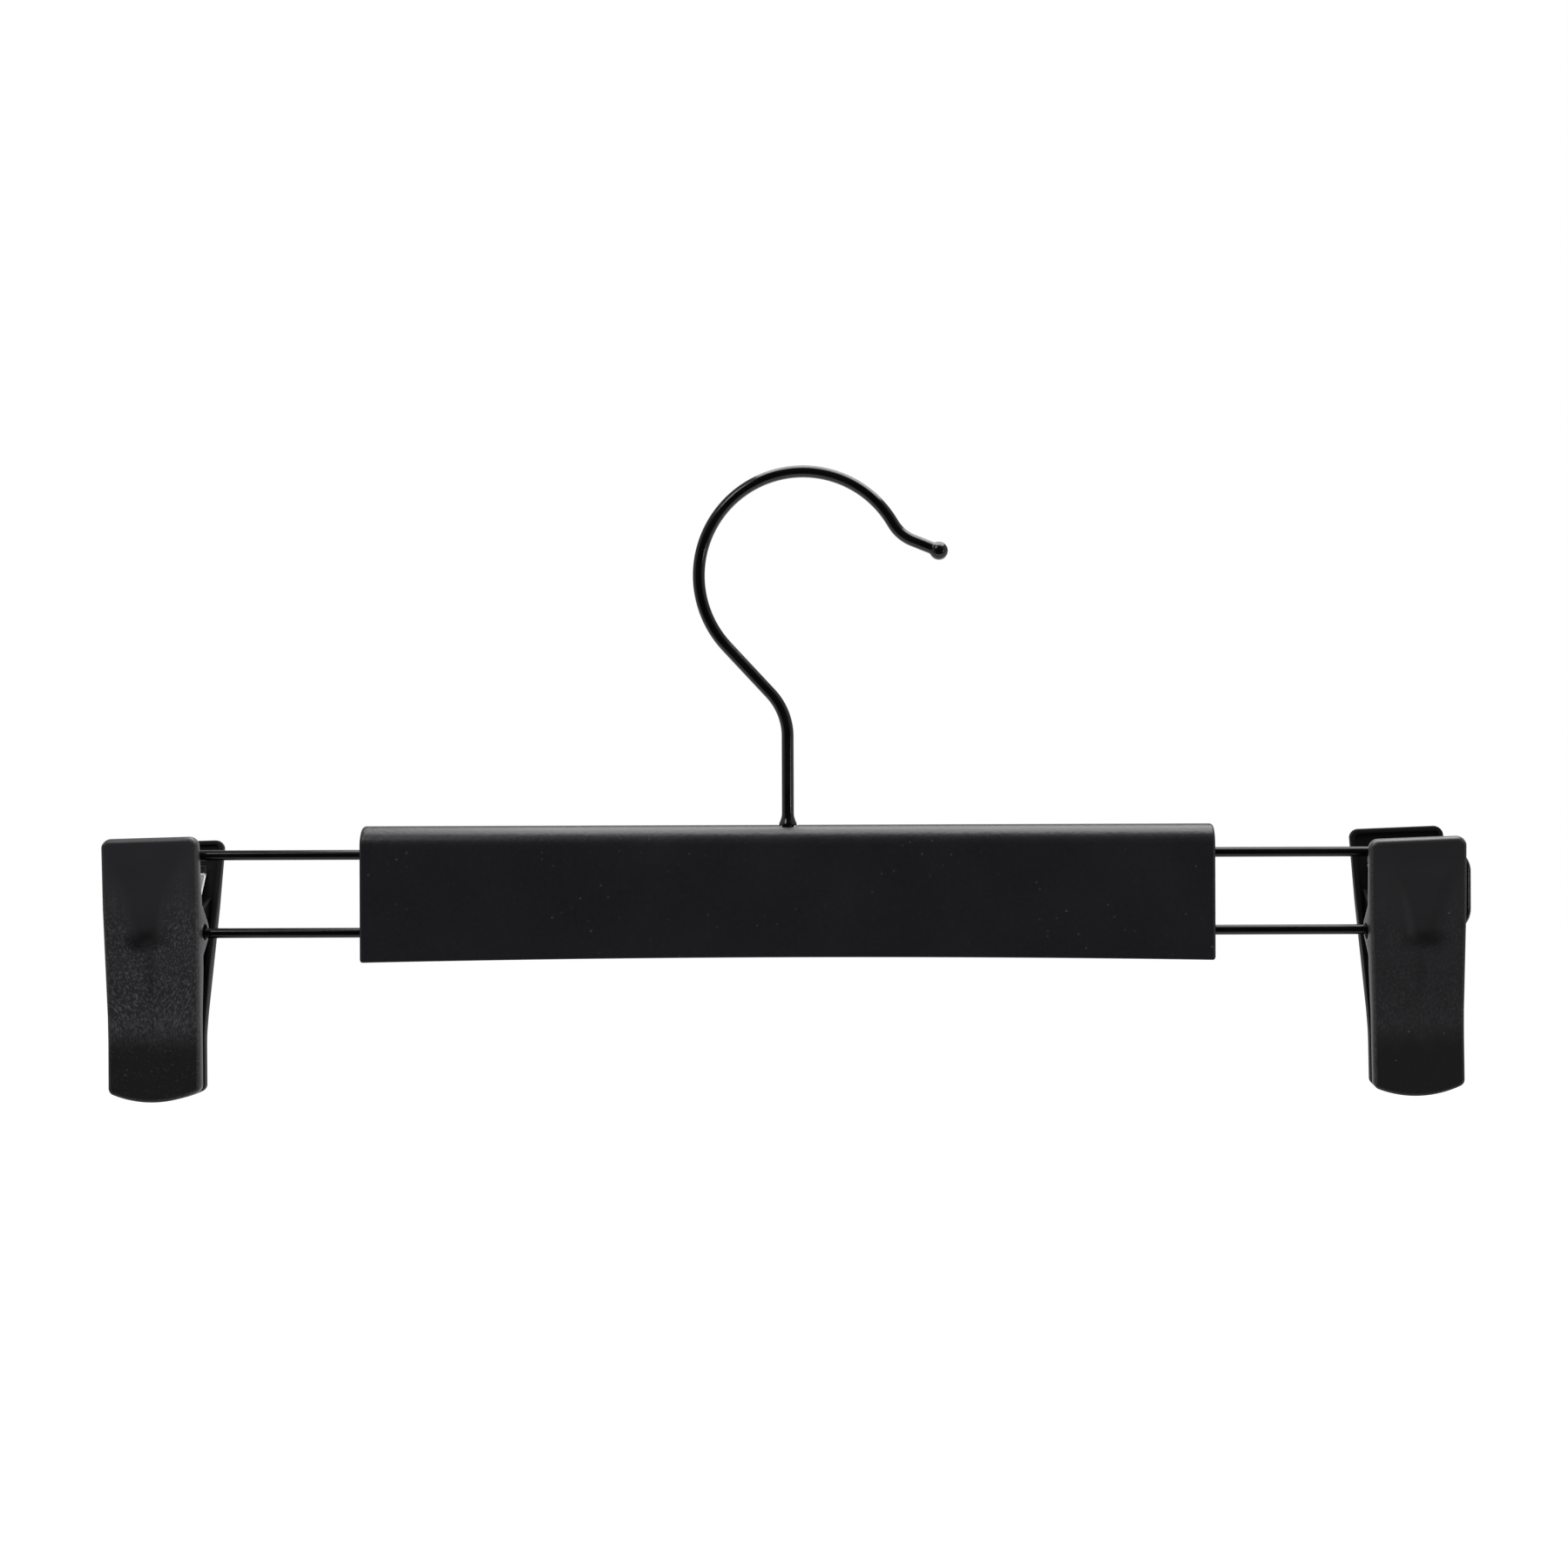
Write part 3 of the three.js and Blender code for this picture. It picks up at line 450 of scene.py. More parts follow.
class Outline:
    """A plate's outline from the front: points and outward normals, the right half mirrored to the left."""

    # Points on each line or corner and on the jaw's round end, and the shortest line that is drawn
    STEPS, END_STEPS, SHORTEST = 60, 80, 0.01
    # How much points crowd towards the corners, over what share of a stretch, and the steps to spread them
    END_CROWD, FLANK_CROWD, CROWD_SHARE, SPREAD_STEPS = 6, 3, 0.05, 400

    def __init__(self, half, jaw_half, top, top_corner, end_radius, end_z, end_corner, grid):
        across, along = grid
        self.across, self.along = across, along
        corner_x = jaw_half - end_corner
        drop = math.sqrt((end_radius - end_corner) ** 2 - corner_x ** 2)
        corner_angle = math.atan2(-drop, corner_x)
        points, normals = [], []

        def arc(cx, cz, radius, start, end, steps):
            for a in np.linspace(start, end, steps):
                points.append((cx + radius * math.cos(a), cz + radius * math.sin(a)))
                normals.append((math.cos(a), math.sin(a)))

        def line(a, b):
            direction = np.subtract(b, a) / np.hypot(*np.subtract(b, a))
            for share in np.linspace(0, 1, self.STEPS):
                points.append(tuple(np.add(a, share * np.subtract(b, a))))
                normals.append((direction[1], -direction[0]))

        arc(0, end_z, end_radius, -np.pi / 2, corner_angle, self.END_STEPS)
        first = len(points) + self.STEPS // 2
        arc(corner_x, end_z - drop, end_corner, corner_angle, 0, self.STEPS)
        side_top = top - top_corner
        side = [(jaw_half, end_z - drop), (jaw_half, min(TAPER_END, side_top)),
                (half, min(TAPER_START, side_top)), (half, side_top)]
        for a, b in zip(side, side[1:]):
            if b[1] - a[1] > self.SHORTEST:
                line(a, b)
        second = len(points) + self.STEPS // 2
        arc(half - top_corner, side_top, top_corner, 0, np.pi / 2, self.STEPS)
        line((half - top_corner, top), (0, top))
        points, normals = np.array(points), np.array(normals)
        length = np.concatenate([[0], np.cumsum(np.hypot(*np.diff(points, axis=0).T))])
        # Keeps the length rising where two points coincide
        length += np.arange(len(length)) * 1e-9

        def sample(start, end, steps, near_start, near_end):
            fine = np.linspace(0, 1, self.SPREAD_STEPS)
            density = 1 + near_start * np.exp(-fine / self.CROWD_SHARE)
            density += near_end * np.exp(-(1 - fine) / self.CROWD_SHARE)
            total = np.concatenate([[0], np.cumsum((density[1:] + density[:-1]) / 2)])
            at = start + (end - start) * np.interp(np.linspace(0, total[-1], steps + 1), total, fine)
            return np.stack([np.interp(at, length, v) for v in (*points.T, *normals.T)], axis=1)

        foot = sample(0, length[first], across // 2, 0, self.END_CROWD)
        flank = sample(length[first], length[second], along, self.FLANK_CROWD, self.FLANK_CROWD)
        head = sample(length[second], length[-1], across // 2, self.END_CROWD, 0)
        mirror = np.array([-1, 1, -1, 1])
        bottom = np.concatenate([(foot * mirror)[::-1], foot[1:]])
        crown = np.concatenate([head, (head * mirror)[::-1][1:]])
        ring = np.concatenate([bottom, flank[1:], crown[1:], (flank * mirror)[::-1][1:-1]])
        self.points, self.normals = ring[:, :2], ring[:, 2:]
        self.count = len(ring)
        self.flank = np.zeros(self.count, bool)
        self.flank[across + 1:across + along] = True
        self.flank[2 * across + along + 1:] = True

    def inset(self, distance):
        return self.points - np.reshape(distance, (-1, 1)) * self.normals

    def grid(self, ring):
        """Fills a ring with a Coons patch: a grid of indices, -1 inside the ring, and the grid's points."""
        n, m = self.across, self.along
        index = np.full((n + 1, m + 1), -1)
        index[:, 0] = np.arange(n + 1)
        index[n, :] = n + np.arange(m + 1)
        index[:, m] = n + m + n - np.arange(n + 1)
        index[0, :] = (2 * n + m + m - np.arange(m + 1)) % self.count
        low, high = ring[index[:, 0]], ring[index[:, m]]
        left, right = ring[index[0, :]], ring[index[n, :]]
        u = np.linspace(0, 1, n + 1)[:, None, None]
        v = np.linspace(0, 1, m + 1)[None, :, None]
        corners = (1 - u) * (1 - v) * low[0] + u * (1 - v) * low[-1]
        corners = corners + (1 - u) * v * high[0] + u * v * high[-1]
        patch = (1 - v) * low[:, None] + v * high[:, None] + (1 - u) * left[None] + u * right[None] - corners
        return index, patch


def lofted(name, outline, rings, outer, inner, place):
    """A closed shell: rings of (inset, depth function) from the outer face round the rim to the inner one."""
    verts = []
    for inset, depth in rings:
        ring = outline.inset(inset)
        y = depth(ring[:, 0], ring[:, 1], outline.flank)
        verts.append(np.stack([ring[:, 0], y, ring[:, 1]], axis=1))
    faces = ring_faces(len(rings), outline.count)
    total = len(rings) * outline.count
    for start, inset, depth in ((0, rings[0][0], outer), (total - outline.count, rings[-1][0], inner)):
        index, patch = outline.grid(outline.inset(inset))
        index = np.where(index >= 0, index + start, -1)
        inside = np.argwhere(index < 0)
        index[tuple(inside.T)] = total + np.arange(len(inside))
        points = patch[tuple(inside.T)]
        verts.append(np.stack([points[:, 0], depth(points[:, 0], points[:, 1]), points[:, 1]], axis=1))
        total += len(inside)
        for i in range(outline.across):
            for j in range(outline.along):
                faces.append((index[i, j], index[i + 1, j], index[i + 1, j + 1], index[i, j + 1]))
    return link(name, placed(np.concatenate(verts), place), faces)


def scoop_distance(x, z):
    """Distance outside the edge of the thumb scoop's shield shape, without its top."""
    end_z = SCOOP_BOTTOM + SCOOP_END
    rise = np.clip((z - end_z) / (SCOOP_TOP - end_z), 0, 1)
    half = SCOOP_END + (SCOOP_TOP_HALF - SCOOP_END) * rise ** SCOOP_WIDENING
    return np.where(z > end_z, np.abs(x) - half, np.hypot(x, z - end_z) - SCOOP_END)


def scoop_depth(x, z):
    """How far the thumb scoop sinks into the face, deepest at its round lower end."""
    share = np.clip((z - SCOOP_BOTTOM) / (SCOOP_TOP - SCOOP_BOTTOM), 0, 1)
    depth = SCOOP_DEPTH + (SCOOP_TOP_DEPTH - SCOOP_DEPTH) * share
    top = smoothstep(SCOOP_TOP, SCOOP_TOP - SCOOP_FADE, z)
    return depth * top * smoothstep(SCOOP_MARGIN, SCOOP_MARGIN - SCOOP_EDGE, scoop_distance(x, z))


plate_outline = Outline(CLIP_HALF, JAW_HALF, PLATE_ABOVE, TOP_CORNER, END_RADIUS, END_RADIUS - PLATE_BELOW,
                        END_CORNER, PLATE_GRID)
pad_outline = Outline(JAW_HALF - PAD_INSET, JAW_HALF - PAD_INSET, JAW_TOP - PAD_DROP, PAD_CORNER,
                      END_RADIUS - PAD_INSET, END_RADIUS - PLATE_BELOW, PAD_CORNER, PAD_GRID)


def slab(name, points, x, thickness, place):
    """A flat plate across X from an outline of (y, z) points, with softened edges."""
    points = np.asarray(points)
    away = points - np.mean(points, axis=0)
    away /= np.linalg.norm(away, axis=1)[:, None]
    soft = SOFT_EDGE / thickness
    rings = []
    for offset, shrink in ((-0.5, SOFT_EDGE), (soft - 0.5, 0), (0.5 - soft, 0), (0.5, SOFT_EDGE)):
        inner = points - shrink * away
        across = np.full(len(points), x + offset * thickness)
        rings.append(np.stack([across, inner[:, 0], inner[:, 1]], axis=1))
    return swept(name, [placed(r, place) for r in rings])


def make_plate(name, side, scoop_x, inwards, place):
    """A plate with its two ears; inwards is 1 or -1, the way along x to the hanger's middle."""
    def face(x, z):
        return side.face(z) - scoop_depth(x - scoop_x, z)

    def rim(x, z, flank):
        edge = side.rim(z)
        if side is back:
            return edge
        # The front plate's ear towards the middle is a part of its side wall
        return np.where(flank & (x * inwards > 0), np.minimum(edge, side.ear(z)), edge)

    def at_face(drop):
        return lambda x, z, flank: side.face(z) - drop

    def at_rim(rise):
        return lambda x, z, flank: rim(x, z, flank) + rise

    def at_hollow(drop):
        return lambda x, z, flank: side.hollow(z) - drop

    upward = smoothstep(0.0, TOP_FACING, plate_outline.normals[:, 1])
    fillet = FACE_FILLET + (TOP_FILLET - FACE_FILLET) * upward
    quarter = quarter_turn(4)
    rings = [(fillet * falling, at_face(fillet * rising)) for falling, rising in quarter_turn(7)]
    rings += [(0, at_face(fillet + SOFT_EDGE)), (0, at_rim(RIM_ROUND + RIM_SUPPORT))]
    rings += [(RIM_ROUND * rising, at_rim(RIM_ROUND * falling)) for falling, rising in quarter]
    rings += [(SIDE_WALL - RIM_ROUND * falling, at_rim(RIM_ROUND * rising)) for falling, rising in quarter]
    rings += [(SIDE_WALL + INNER_FILLET * rising, at_hollow(INNER_FILLET * falling))
              for falling, rising in quarter]
    plate = lofted(name, plate_outline, rings, face, lambda x, z: side.hollow(z), place)
    upper, lower, start, end = side.ear_points()
    outline = [(EAR_RADIUS * math.cos(a), EAR_RADIUS * math.sin(a)) for a in np.linspace(start, end, 24)]
    outline += [lower, upper]
    ears = [-END_EAR - EAR_THICKNESS / 2]
    if side is back:
        ears = [MIDDLE_EAR - EAR_GAP - EAR_THICKNESS / 2, EAR_GAP + EAR_THICKNESS / 2 - END_EAR]
    for x in ears:
        combine(plate, slab("ear", outline, inwards * x, EAR_THICKNESS, place), "UNION")
    y, z = circle(EAR_HOLE)
    ends = [np.stack([np.full(len(y), x), y, z], axis=1) for x in (-2 * CLIP_HALF, 2 * CLIP_HALF)]
    combine(plate, swept("bore", [placed(ring, place) for ring in ends]))
    mark_finish_and_shade(plate, side, scoop_x, place)
    return plate


def mark_finish_and_shade(plate, side, scoop_x, place):
    """Stores on a plate's points where its finish and its painted shade change, and where each lies in the
    plate's own frame.
    """
    at = np.zeros(len(plate.data.vertices) * 3)
    plate.data.vertices.foreach_get("co", at)
    local = (at.reshape(-1, 3) / MM - np.array(place.translation)) @ np.array(place.to_3x3())
    x, y, z = local.T
    inset = np.full(len(local), FAR)
    for point in plate_outline.points:
        inset = np.minimum(inset, np.hypot(x - point[0], z - point[1]))
    depth = side.face(z) - y
    outside = smoothstep(*OUTSIDE_DEPTH, depth - scoop_depth(x - scoop_x, z))
    foot = np.hypot((x - FOOT_SHIFT * scoop_x) / FOOT_HALVES[0], (z - FOOT_Z) / FOOT_HALVES[1])
    lower_shade = np.hypot((x - LOWER_SHADE_SHIFT * scoop_x) / LOWER_SHADE_HALVES[0], (z - LOWER_SHADE_Z) / LOWER_SHADE_HALVES[1])
    shaded = np.maximum(smoothstep(1.0, 0.0, foot), LOWER_SHADE_DEPTH * smoothstep(1.0, LOWER_SHADE_CORE, lower_shade))
    marks = {
        "edge_wear": smoothstep(*WEAR_INSET, inset) * smoothstep(*WEAR_DEPTH, depth),
        "scoop": smoothstep(*SCOOP_SHEEN, scoop_distance(x - scoop_x, z)) * outside,
        # Painted shade at the scoop's foot and a fainter painted shade below it
        "foot": shaded * outside,
        "outside": outside,
        # Walls only on the front plates: the back plates' side walls count as inside and get its painted
        # shade
        "wall": smoothstep(*WALL_INSET, inset) * (1 - outside) * (side is front),
    }
    for name, values in marks.items():
        mark = plate.data.attributes.new(name, "FLOAT", "POINT")
        mark.data.foreach_set("value", values.astype(np.float32))
    plate_at = plate.data.attributes.new("plate_at", "FLOAT_VECTOR", "POINT")
    plate_at.data.foreach_set("vector", (local * MM).astype(np.float32).ravel())


def make_pad(name, side, place):
    base = side.jaw - JAW_WALL - FIT
    tip = side.clamp + PAD_GAP
    top = JAW_TOP - PAD_DROP

    def sole(x, z, flank=None):
        return np.full(len(x), base)

    def ribs(x, z, flank=None):
        phase = ((top - z) / PAD_RIB_PITCH) % 1
        groove = smoothstep(PAD_RIB_FLANK, 0.0, phase) + smoothstep(1 - PAD_RIB_FLANK, 1.0, phase)
        return tip + PAD_RIB_DEPTH * groove

    rings = [(SOFT_EDGE, sole), (0, lambda x, z, flank: sole(x, z) - SOFT_EDGE),
             (0, lambda x, z, flank: ribs(x, z) + SOFT_EDGE), (SOFT_EDGE, ribs)]
    return lofted(name, pad_outline, rings, sole, ribs, place)


# Springs

def spring_line():
    """The strip's centre-line as (y, z) points, front leg to back leg, and the radius round the wire."""
    half = SPRING_THICKNESS / 2
    bend = WIRE_RADIUS + SPRING_WIRE_GAP + half
    offset = PLATE_WALL + FIT + half
    knees = [np.array([offset - front.straight(SPRING_FRONT_REACH), SPRING_FRONT_REACH]),
             np.array([back.straight(SPRING_BACK_REACH) - offset, SPRING_BACK_REACH])]
    curls = [knees[0] + [SPRING_CURL_DRAW, SPRING_CURL_RISE],
             knees[1] + [-SPRING_CURL_DRAW, SPRING_CURL_RISE]]
    start = math.atan2(knees[0][1], knees[0][0]) + math.acos(bend / np.hypot(*knees[0]))
    end = math.atan2(knees[1][1], knees[1][0]) - math.acos(bend / np.hypot(*knees[1])) + 2 * math.pi
    arc = [bend * np.array([math.cos(a), math.sin(a)]) for a in np.linspace(start, end, 28)]

    def leg(touch, knee, curl):
        """From the bend up the leg, round the knee and out along the curl."""
        before = knee + SPRING_KNEE * (touch - knee) / np.hypot(*(touch - knee))
        after = knee + SPRING_KNEE * (curl - knee) / np.hypot(*(curl - knee))
        shares = np.linspace(0, 1, 9)[:, None]
        turn = (1 - shares) ** 2 * before + 2 * shares * (1 - shares) * knee + shares ** 2 * after
        run = touch + np.linspace(0, 1, 10)[1:-1, None] * (before - touch)
        return [*run, *turn, curl]

    line = leg(arc[0], knees[0], curls[0])[::-1] + arc + leg(arc[-1], knees[1], curls[1])
    return np.array(line), bend


def spring_section():
    """The strip's section as (across, through) points, with round edges and support points."""
    half_width, half = (SPRING_MIDDLE + SPRING_END) / 2, SPRING_THICKNESS / 2
    w, h = half_width - SPRING_EDGE, half - SPRING_EDGE
    support = half_width - 4 * SPRING_EDGE
    section = []
    for corner_x, corner_h, start in ((w, h, 0), (-w, h, 90), (-w, -h, 180), (w, -h, 270)):
        for turn in (0, 30, 60, 90):
            angle = math.radians(start + turn)
            across, through = SPRING_EDGE * math.cos(angle), SPRING_EDGE * math.sin(angle)
            section.append((corner_x + across, corner_h + through))
        if start == 0:
            section += [(support, half), (-support, half)]
        if start == 180:
            section += [(-support, -half), (support, -half)]
    return section


def make_spring(name, inwards, place):
    """A leaf spring, and the two sides of its bend, between which it passes from plate to plate."""
    line, bend = spring_line()
    into = np.gradient(line, axis=0)
    into /= np.linalg.norm(into, axis=1)[:, None]
    middle = inwards * (SPRING_MIDDLE - SPRING_END) / 2
    section = spring_section()
    rings = []
    for (y, z), (into_y, into_z) in zip(line, into):
        ring = [(middle + a, y - b * into_z, z + b * into_y) for a, b in section]
        rings.append(placed(ring, place))
    ends = [Vector(placed([(0, y, 0)], place)[0]) * MM for y in (-bend, bend)]
    return swept(name, rings), ends


# Materials

def connect(tree, target, value):
    """Puts a number, a colour or another node's output on a node's input."""
    if isinstance(value, bpy.types.NodeSocket):
        tree.links.new(value, target)
    else:
        target.default_value = value


def joined(tree, operation, a, b):
    """The output of a new node that works on two values."""
    made = tree.nodes.new("ShaderNodeMath")
    made.operation = operation
    connect(tree, made.inputs[0], a)
    connect(tree, made.inputs[1], b)
    return made.outputs[0]


def grey(value, tint=0.0):
    """A linear grey, a little blue with tint."""
    return (value, value, value * (1 + tint), 1)


class Look:
    """A node material with object coordinates, for finishes that vary over the surface."""

    def __init__(self, name):
        self.material = bpy.data.materials.new(name)
        self.material.use_nodes = True
        self.tree = self.material.node_tree
        self.shader = self.tree.nodes["Principled BSDF"]
        self.place = self.node("ShaderNodeTexCoord").outputs["Object"]

    def node(self, kind, **settings):
        made = self.tree.nodes.new(kind)
        for key, value in settings.items():
            setattr(made, key, value)
        return made

    def put(self, target, value):
        connect(self.tree, target, value)

    def set(self, **values):
        for key, value in values.items():
            self.put(self.shader.inputs[key.replace("_", " ")], value)

    def greater(self, a, b):
        return joined(self.tree, "MAXIMUM", a, b)

    def plus(self, a, b):
        return joined(self.tree, "ADD", a, b)

    def minus(self, a, b):
        return joined(self.tree, "SUBTRACT", a, b)

    def times(self, first, *others):
        for value in others:
            first = joined(self.tree, "MULTIPLY", first, value)
        return first

    def stretch(self, scale, turn=(0, 0, 0), vector=None):
        """Coordinates in a turned frame, scaled along its axes."""
        mapping = self.node("ShaderNodeMapping", vector_type="TEXTURE")
        self.put(mapping.inputs["Vector"], vector or self.place)
        mapping.inputs["Scale"].default_value = [1 / v for v in scale]
        mapping.inputs["Rotation"].default_value = [math.radians(t) for t in turn]
        return mapping.outputs["Vector"]

    def noise(self, scale, detail=2.0, roughness=0.5, vector=None):
        made = self.node("ShaderNodeTexNoise")
        self.put(made.inputs["Vector"], vector or self.place)
        made.inputs["Scale"].default_value = scale
        made.inputs["Detail"].default_value = detail
        made.inputs["Roughness"].default_value = roughness
        return made.outputs["Fac"]

    def range(self, value, low, high, to_low=0, to_high=1, smooth=False):
        made = self.node("ShaderNodeMapRange", interpolation_type="SMOOTHSTEP" if smooth else "LINEAR")
        keys = ("Value", "From Min", "From Max", "To Min", "To Max")
        for key, given in zip(keys, (value, low, high, to_low, to_high)):
            self.put(made.inputs[key], given)
        return made.outputs["Result"]

    def between(self, value, limits):
        """A soft step from 0 at the first limit to 1 at the second, which are in millimetres."""
        return self.range(value, limits[0] * MM, limits[1] * MM, smooth=True)

    def mix(self, share, a, b):
        made = self.node("ShaderNodeMix", data_type="RGBA")
        self.put(made.inputs["Factor"], share)
        self.put(made.inputs[6], a)
        self.put(made.inputs[7], b)
        return made.outputs[2]

    def axis(self, letter, vector):
        made = self.node("ShaderNodeSeparateXYZ")
        self.put(made.inputs[0], vector)
        return made.outputs[letter]

    def attribute(self, name, output="Fac"):
        return self.node("ShaderNodeAttribute", attribute_name=name).outputs[output]

    def bump(self, height, strength, distance):
        made = self.node("ShaderNodeBump")
        made.inputs["Strength"].default_value = strength
        made.inputs["Distance"].default_value = distance
        self.put(made.inputs["Height"], height)
        return made.outputs["Normal"]

    def specks(self, scale, size, amount):
        """Scattered round specks: 1 on a speck, 0 elsewhere."""
        made = self.node("ShaderNodeTexVoronoi")
        self.put(made.inputs["Vector"], self.place)
        made.inputs["Scale"].default_value = scale
        near = self.range(made.outputs["Distance"], size, size * 0.5)
        cell = self.node("ShaderNodeSeparateColor")
        self.put(cell.inputs[0], made.outputs["Color"])
        return self.times(near, joined(self.tree, "GREATER_THAN", cell.outputs[0], 1 - amount))


def bar_plastic():
    look = Look("bar_plastic")
    cloud = look.noise(45, 4, 0.6)
    mottle = look.noise(800, 3, 0.65)
    grain = look.plus(mottle, look.times(look.noise(5200, 2, 0.6), 0.3))
    base = look.mix(look.range(cloud, 0.3, 0.7), grey(0.0104, 0.22), grey(0.0132, 0.22))
    base = look.mix(look.range(mottle, 0.35, 0.75, 0, 0.35), base, grey(0.019, 0.16))
    # Dust in loose clusters
    clusters = look.range(look.noise(30), 0.46, 0.62, 0.15, 1)
    dust = look.times(look.specks(420, 0.14, 0.45), clusters)
    base = look.mix(look.times(dust, 0.5), base, grey(0.1))
    look.set(Base_Color=base, Roughness=look.range(cloud, 0.3, 0.7, 0.28, 0.34),
             Specular_IOR_Level=0.42, Normal=look.bump(grain, 0.6, 0.00012))
    return look.material


def clip_plastic(name, wear, foot_shade, painted_light_level):
    """Charcoal plastic: a smooth thumb scoop, scuffed flanks and a jaw darkened by painted shade below a
    dusty bend, with painted shade at the scoop's foot and inside the shell.
    """
    look = Look(name)
    at = look.attribute("plate_at", "Vector")
    x, z = look.axis("X", at), look.axis("Z", at)
    scoop, outside = look.attribute("scoop"), look.attribute("outside")
    foot, wall = look.attribute("foot"), look.attribute("wall")
    # The inside of the shell and the back plates' side walls, which get painted shade
    hollow = look.minus(look.minus(1.0, outside), wall)
    cloud = look.noise(170, 4, 0.6)
    grain = look.noise(2400, 3, 0.6)
    drift = look.plus(z, look.times(look.minus(look.noise(260, 3, 0.6), 0.5), FINISH_AND_SHADE_DRIFT * MM))
    # Cloudy base colour, darkened on the right clip by painted shade
    base = look.mix(look.range(cloud, 0.3, 0.7), grey(0.0116 * painted_light_level, 0.16), grey(0.0170 * painted_light_level, 0.16))
    # Fine scuffs that fan out from the middle, none in the scoop, at the top or on the jaw
    rising = look.noise(1, 2, 0.6, look.stretch((3000, 800, 1300), (0, 30, 0), at))
    falling = look.noise(1, 2, 0.6, look.stretch((3000, 800, 1300), (0, -30, 0), at))
    right = look.between(x, SCUFF_MIDDLE)
    scuff = look.plus(look.times(rising, right), look.times(falling, look.minus(1.0, right)))
    streaks = look.noise(1, 2, 0.5, look.stretch((700, 700, 60), vector=at))
    where = look.times(look.between(drift, SCUFF_TOP), look.between(z, SCUFF_BOTTOM), outside,
                       look.minus(1.0, scoop), look.range(streaks, 0.35, 0.65, 0.7, 1.1))
    marks = look.times(look.range(scuff, 0.48, 0.66), where, wear)
    base = look.mix(marks, base, grey(0.078, 0.14))
    # Short upright marks in a band where the jaw begins
    dashes = look.noise(1, 2, 0.6, look.stretch((3000, 3000, 900), vector=at))
    band = look.times(look.between(z, BAND_BOTTOM), look.between(z, BAND_TOP), outside)
    dashes = look.times(look.range(dashes, 0.5, 0.66), band, wear)
    base = look.mix(look.times(dashes, 0.8), base, grey(0.075, 0.14))
    # Painted shade darkens the jaw, which has pale crumbs
    jaw = look.times(look.between(drift, JAW_SHADE_LIMITS), outside)
    base = look.mix(look.times(jaw, 0.85), base, grey(0.0036, 0.2))
    crumbs = look.times(look.range(look.noise(2300, 2, 0.6), 0.62, 0.7), jaw)
    base = look.mix(look.times(crumbs, wear), base, grey(0.045, 0.12))
    # A paler upper part, painted shade at the scoop's foot, and painted shade over the inside of the shell
    # and the back plates' side walls
    upper = look.times(look.between(z, UPPER_PALE), outside)
    base = look.mix(look.times(upper, 0.6), base, grey(0.0215 * painted_light_level, 0.16))
    base = look.mix(look.times(foot, foot_shade), base, grey(0.0018))
    base = look.mix(look.times(hollow, 0.9), base, grey(0.003, 0.1))
    # Dust and worn edges
    dust = look.times(look.specks(340, 0.085, 0.16), outside)
    base = look.mix(look.times(dust, 0.6), base, grey(0.16))
    edge = look.times(look.attribute("edge_wear"), look.range(grain, 0.35, 0.6, 0.1, 0.7))
    base = look.mix(edge, base, grey(0.06))
    # Side walls and the top edge shine more, the scoop's foot and the inside less
    rim = look.times(look.between(z, RIM_SHINE), outside)
    rough = look.range(look.plus(scoop, look.times(cloud, 0.4)), 0, 1.4, 0.6, 0.46)
    rough = look.minus(rough, look.times(wall, 0.26))
    rough = look.minus(rough, look.times(rim, 0.16))
    shine = look.plus(0.32, look.times(wall, 0.5))
    shine = look.minus(shine, look.times(look.greater(foot, hollow), 0.22))
    shine = look.plus(shine, look.times(rim, 0.3))
    height = look.plus(look.times(grain, 0.5), look.times(marks, 0.8))
    look.set(Base_Color=base, Roughness=rough, Specular_IOR_Level=shine,
             Normal=look.bump(height, 0.3, 0.00008))
    return look.material


def coated_wire(name, shine):
    look = Look(name)
    cloud = look.noise(120, 3)
    peel = look.noise(700, 2, 0.5)
    look.set(Base_Color=look.mix(look.range(cloud, 0.35, 0.65), grey(0.0014), grey(0.0034)),
             Roughness=look.range(cloud, 0.3, 0.7, 0.11, 0.17), Specular_IOR_Level=shine,
             Normal=look.bump(peel, 0.02, 0.00008))
    return look.material


def insert_plastic():
    look = Look("insert_plastic")
    cloud = look.noise(160, 3)
    grain = look.noise(3000, 2)
    look.set(Base_Color=look.mix(look.range(cloud, 0.3, 0.7), grey(0.012), grey(0.019)),
             Roughness=look.range(cloud, 0.3, 0.7, 0.45, 0.58), Normal=look.bump(grain, 0.2, 0.00006))
    return look.material


def steel(name, stretch):
    look = Look(name)
    brushed = look.noise(1, 3, 0.6, look.stretch(stretch))
    cloud = look.noise(220, 3)
    look.set(Base_Color=look.mix(look.range(cloud, 0.3, 0.7), grey(0.2, 0.02), grey(0.3, 0.02)), Metallic=1.0,
             Roughness=look.range(brushed, 0.3, 0.7, 0.22, 0.34), Normal=look.bump(brushed, 0.04, 0.00003))
    return look.material


def pad_rubber():
    look = Look("pad_rubber")
    cloud = look.noise(210, 4)
    grain = look.noise(3800, 2)
    look.set(Base_Color=look.mix(look.range(cloud, 0.3, 0.7), grey(0.009), grey(0.017)),
             Roughness=look.range(cloud, 0.3, 0.7, 0.72, 0.86), Normal=look.bump(grain, 0.3, 0.00008))
    return look.material


plastic_bar, plastic_insert, rubber = bar_plastic(), insert_plastic(), pad_rubber()
hook_coat, loop_coat = coated_wire("hook_wire", shine=0.5), coated_wire("loop_wire", shine=0.3)
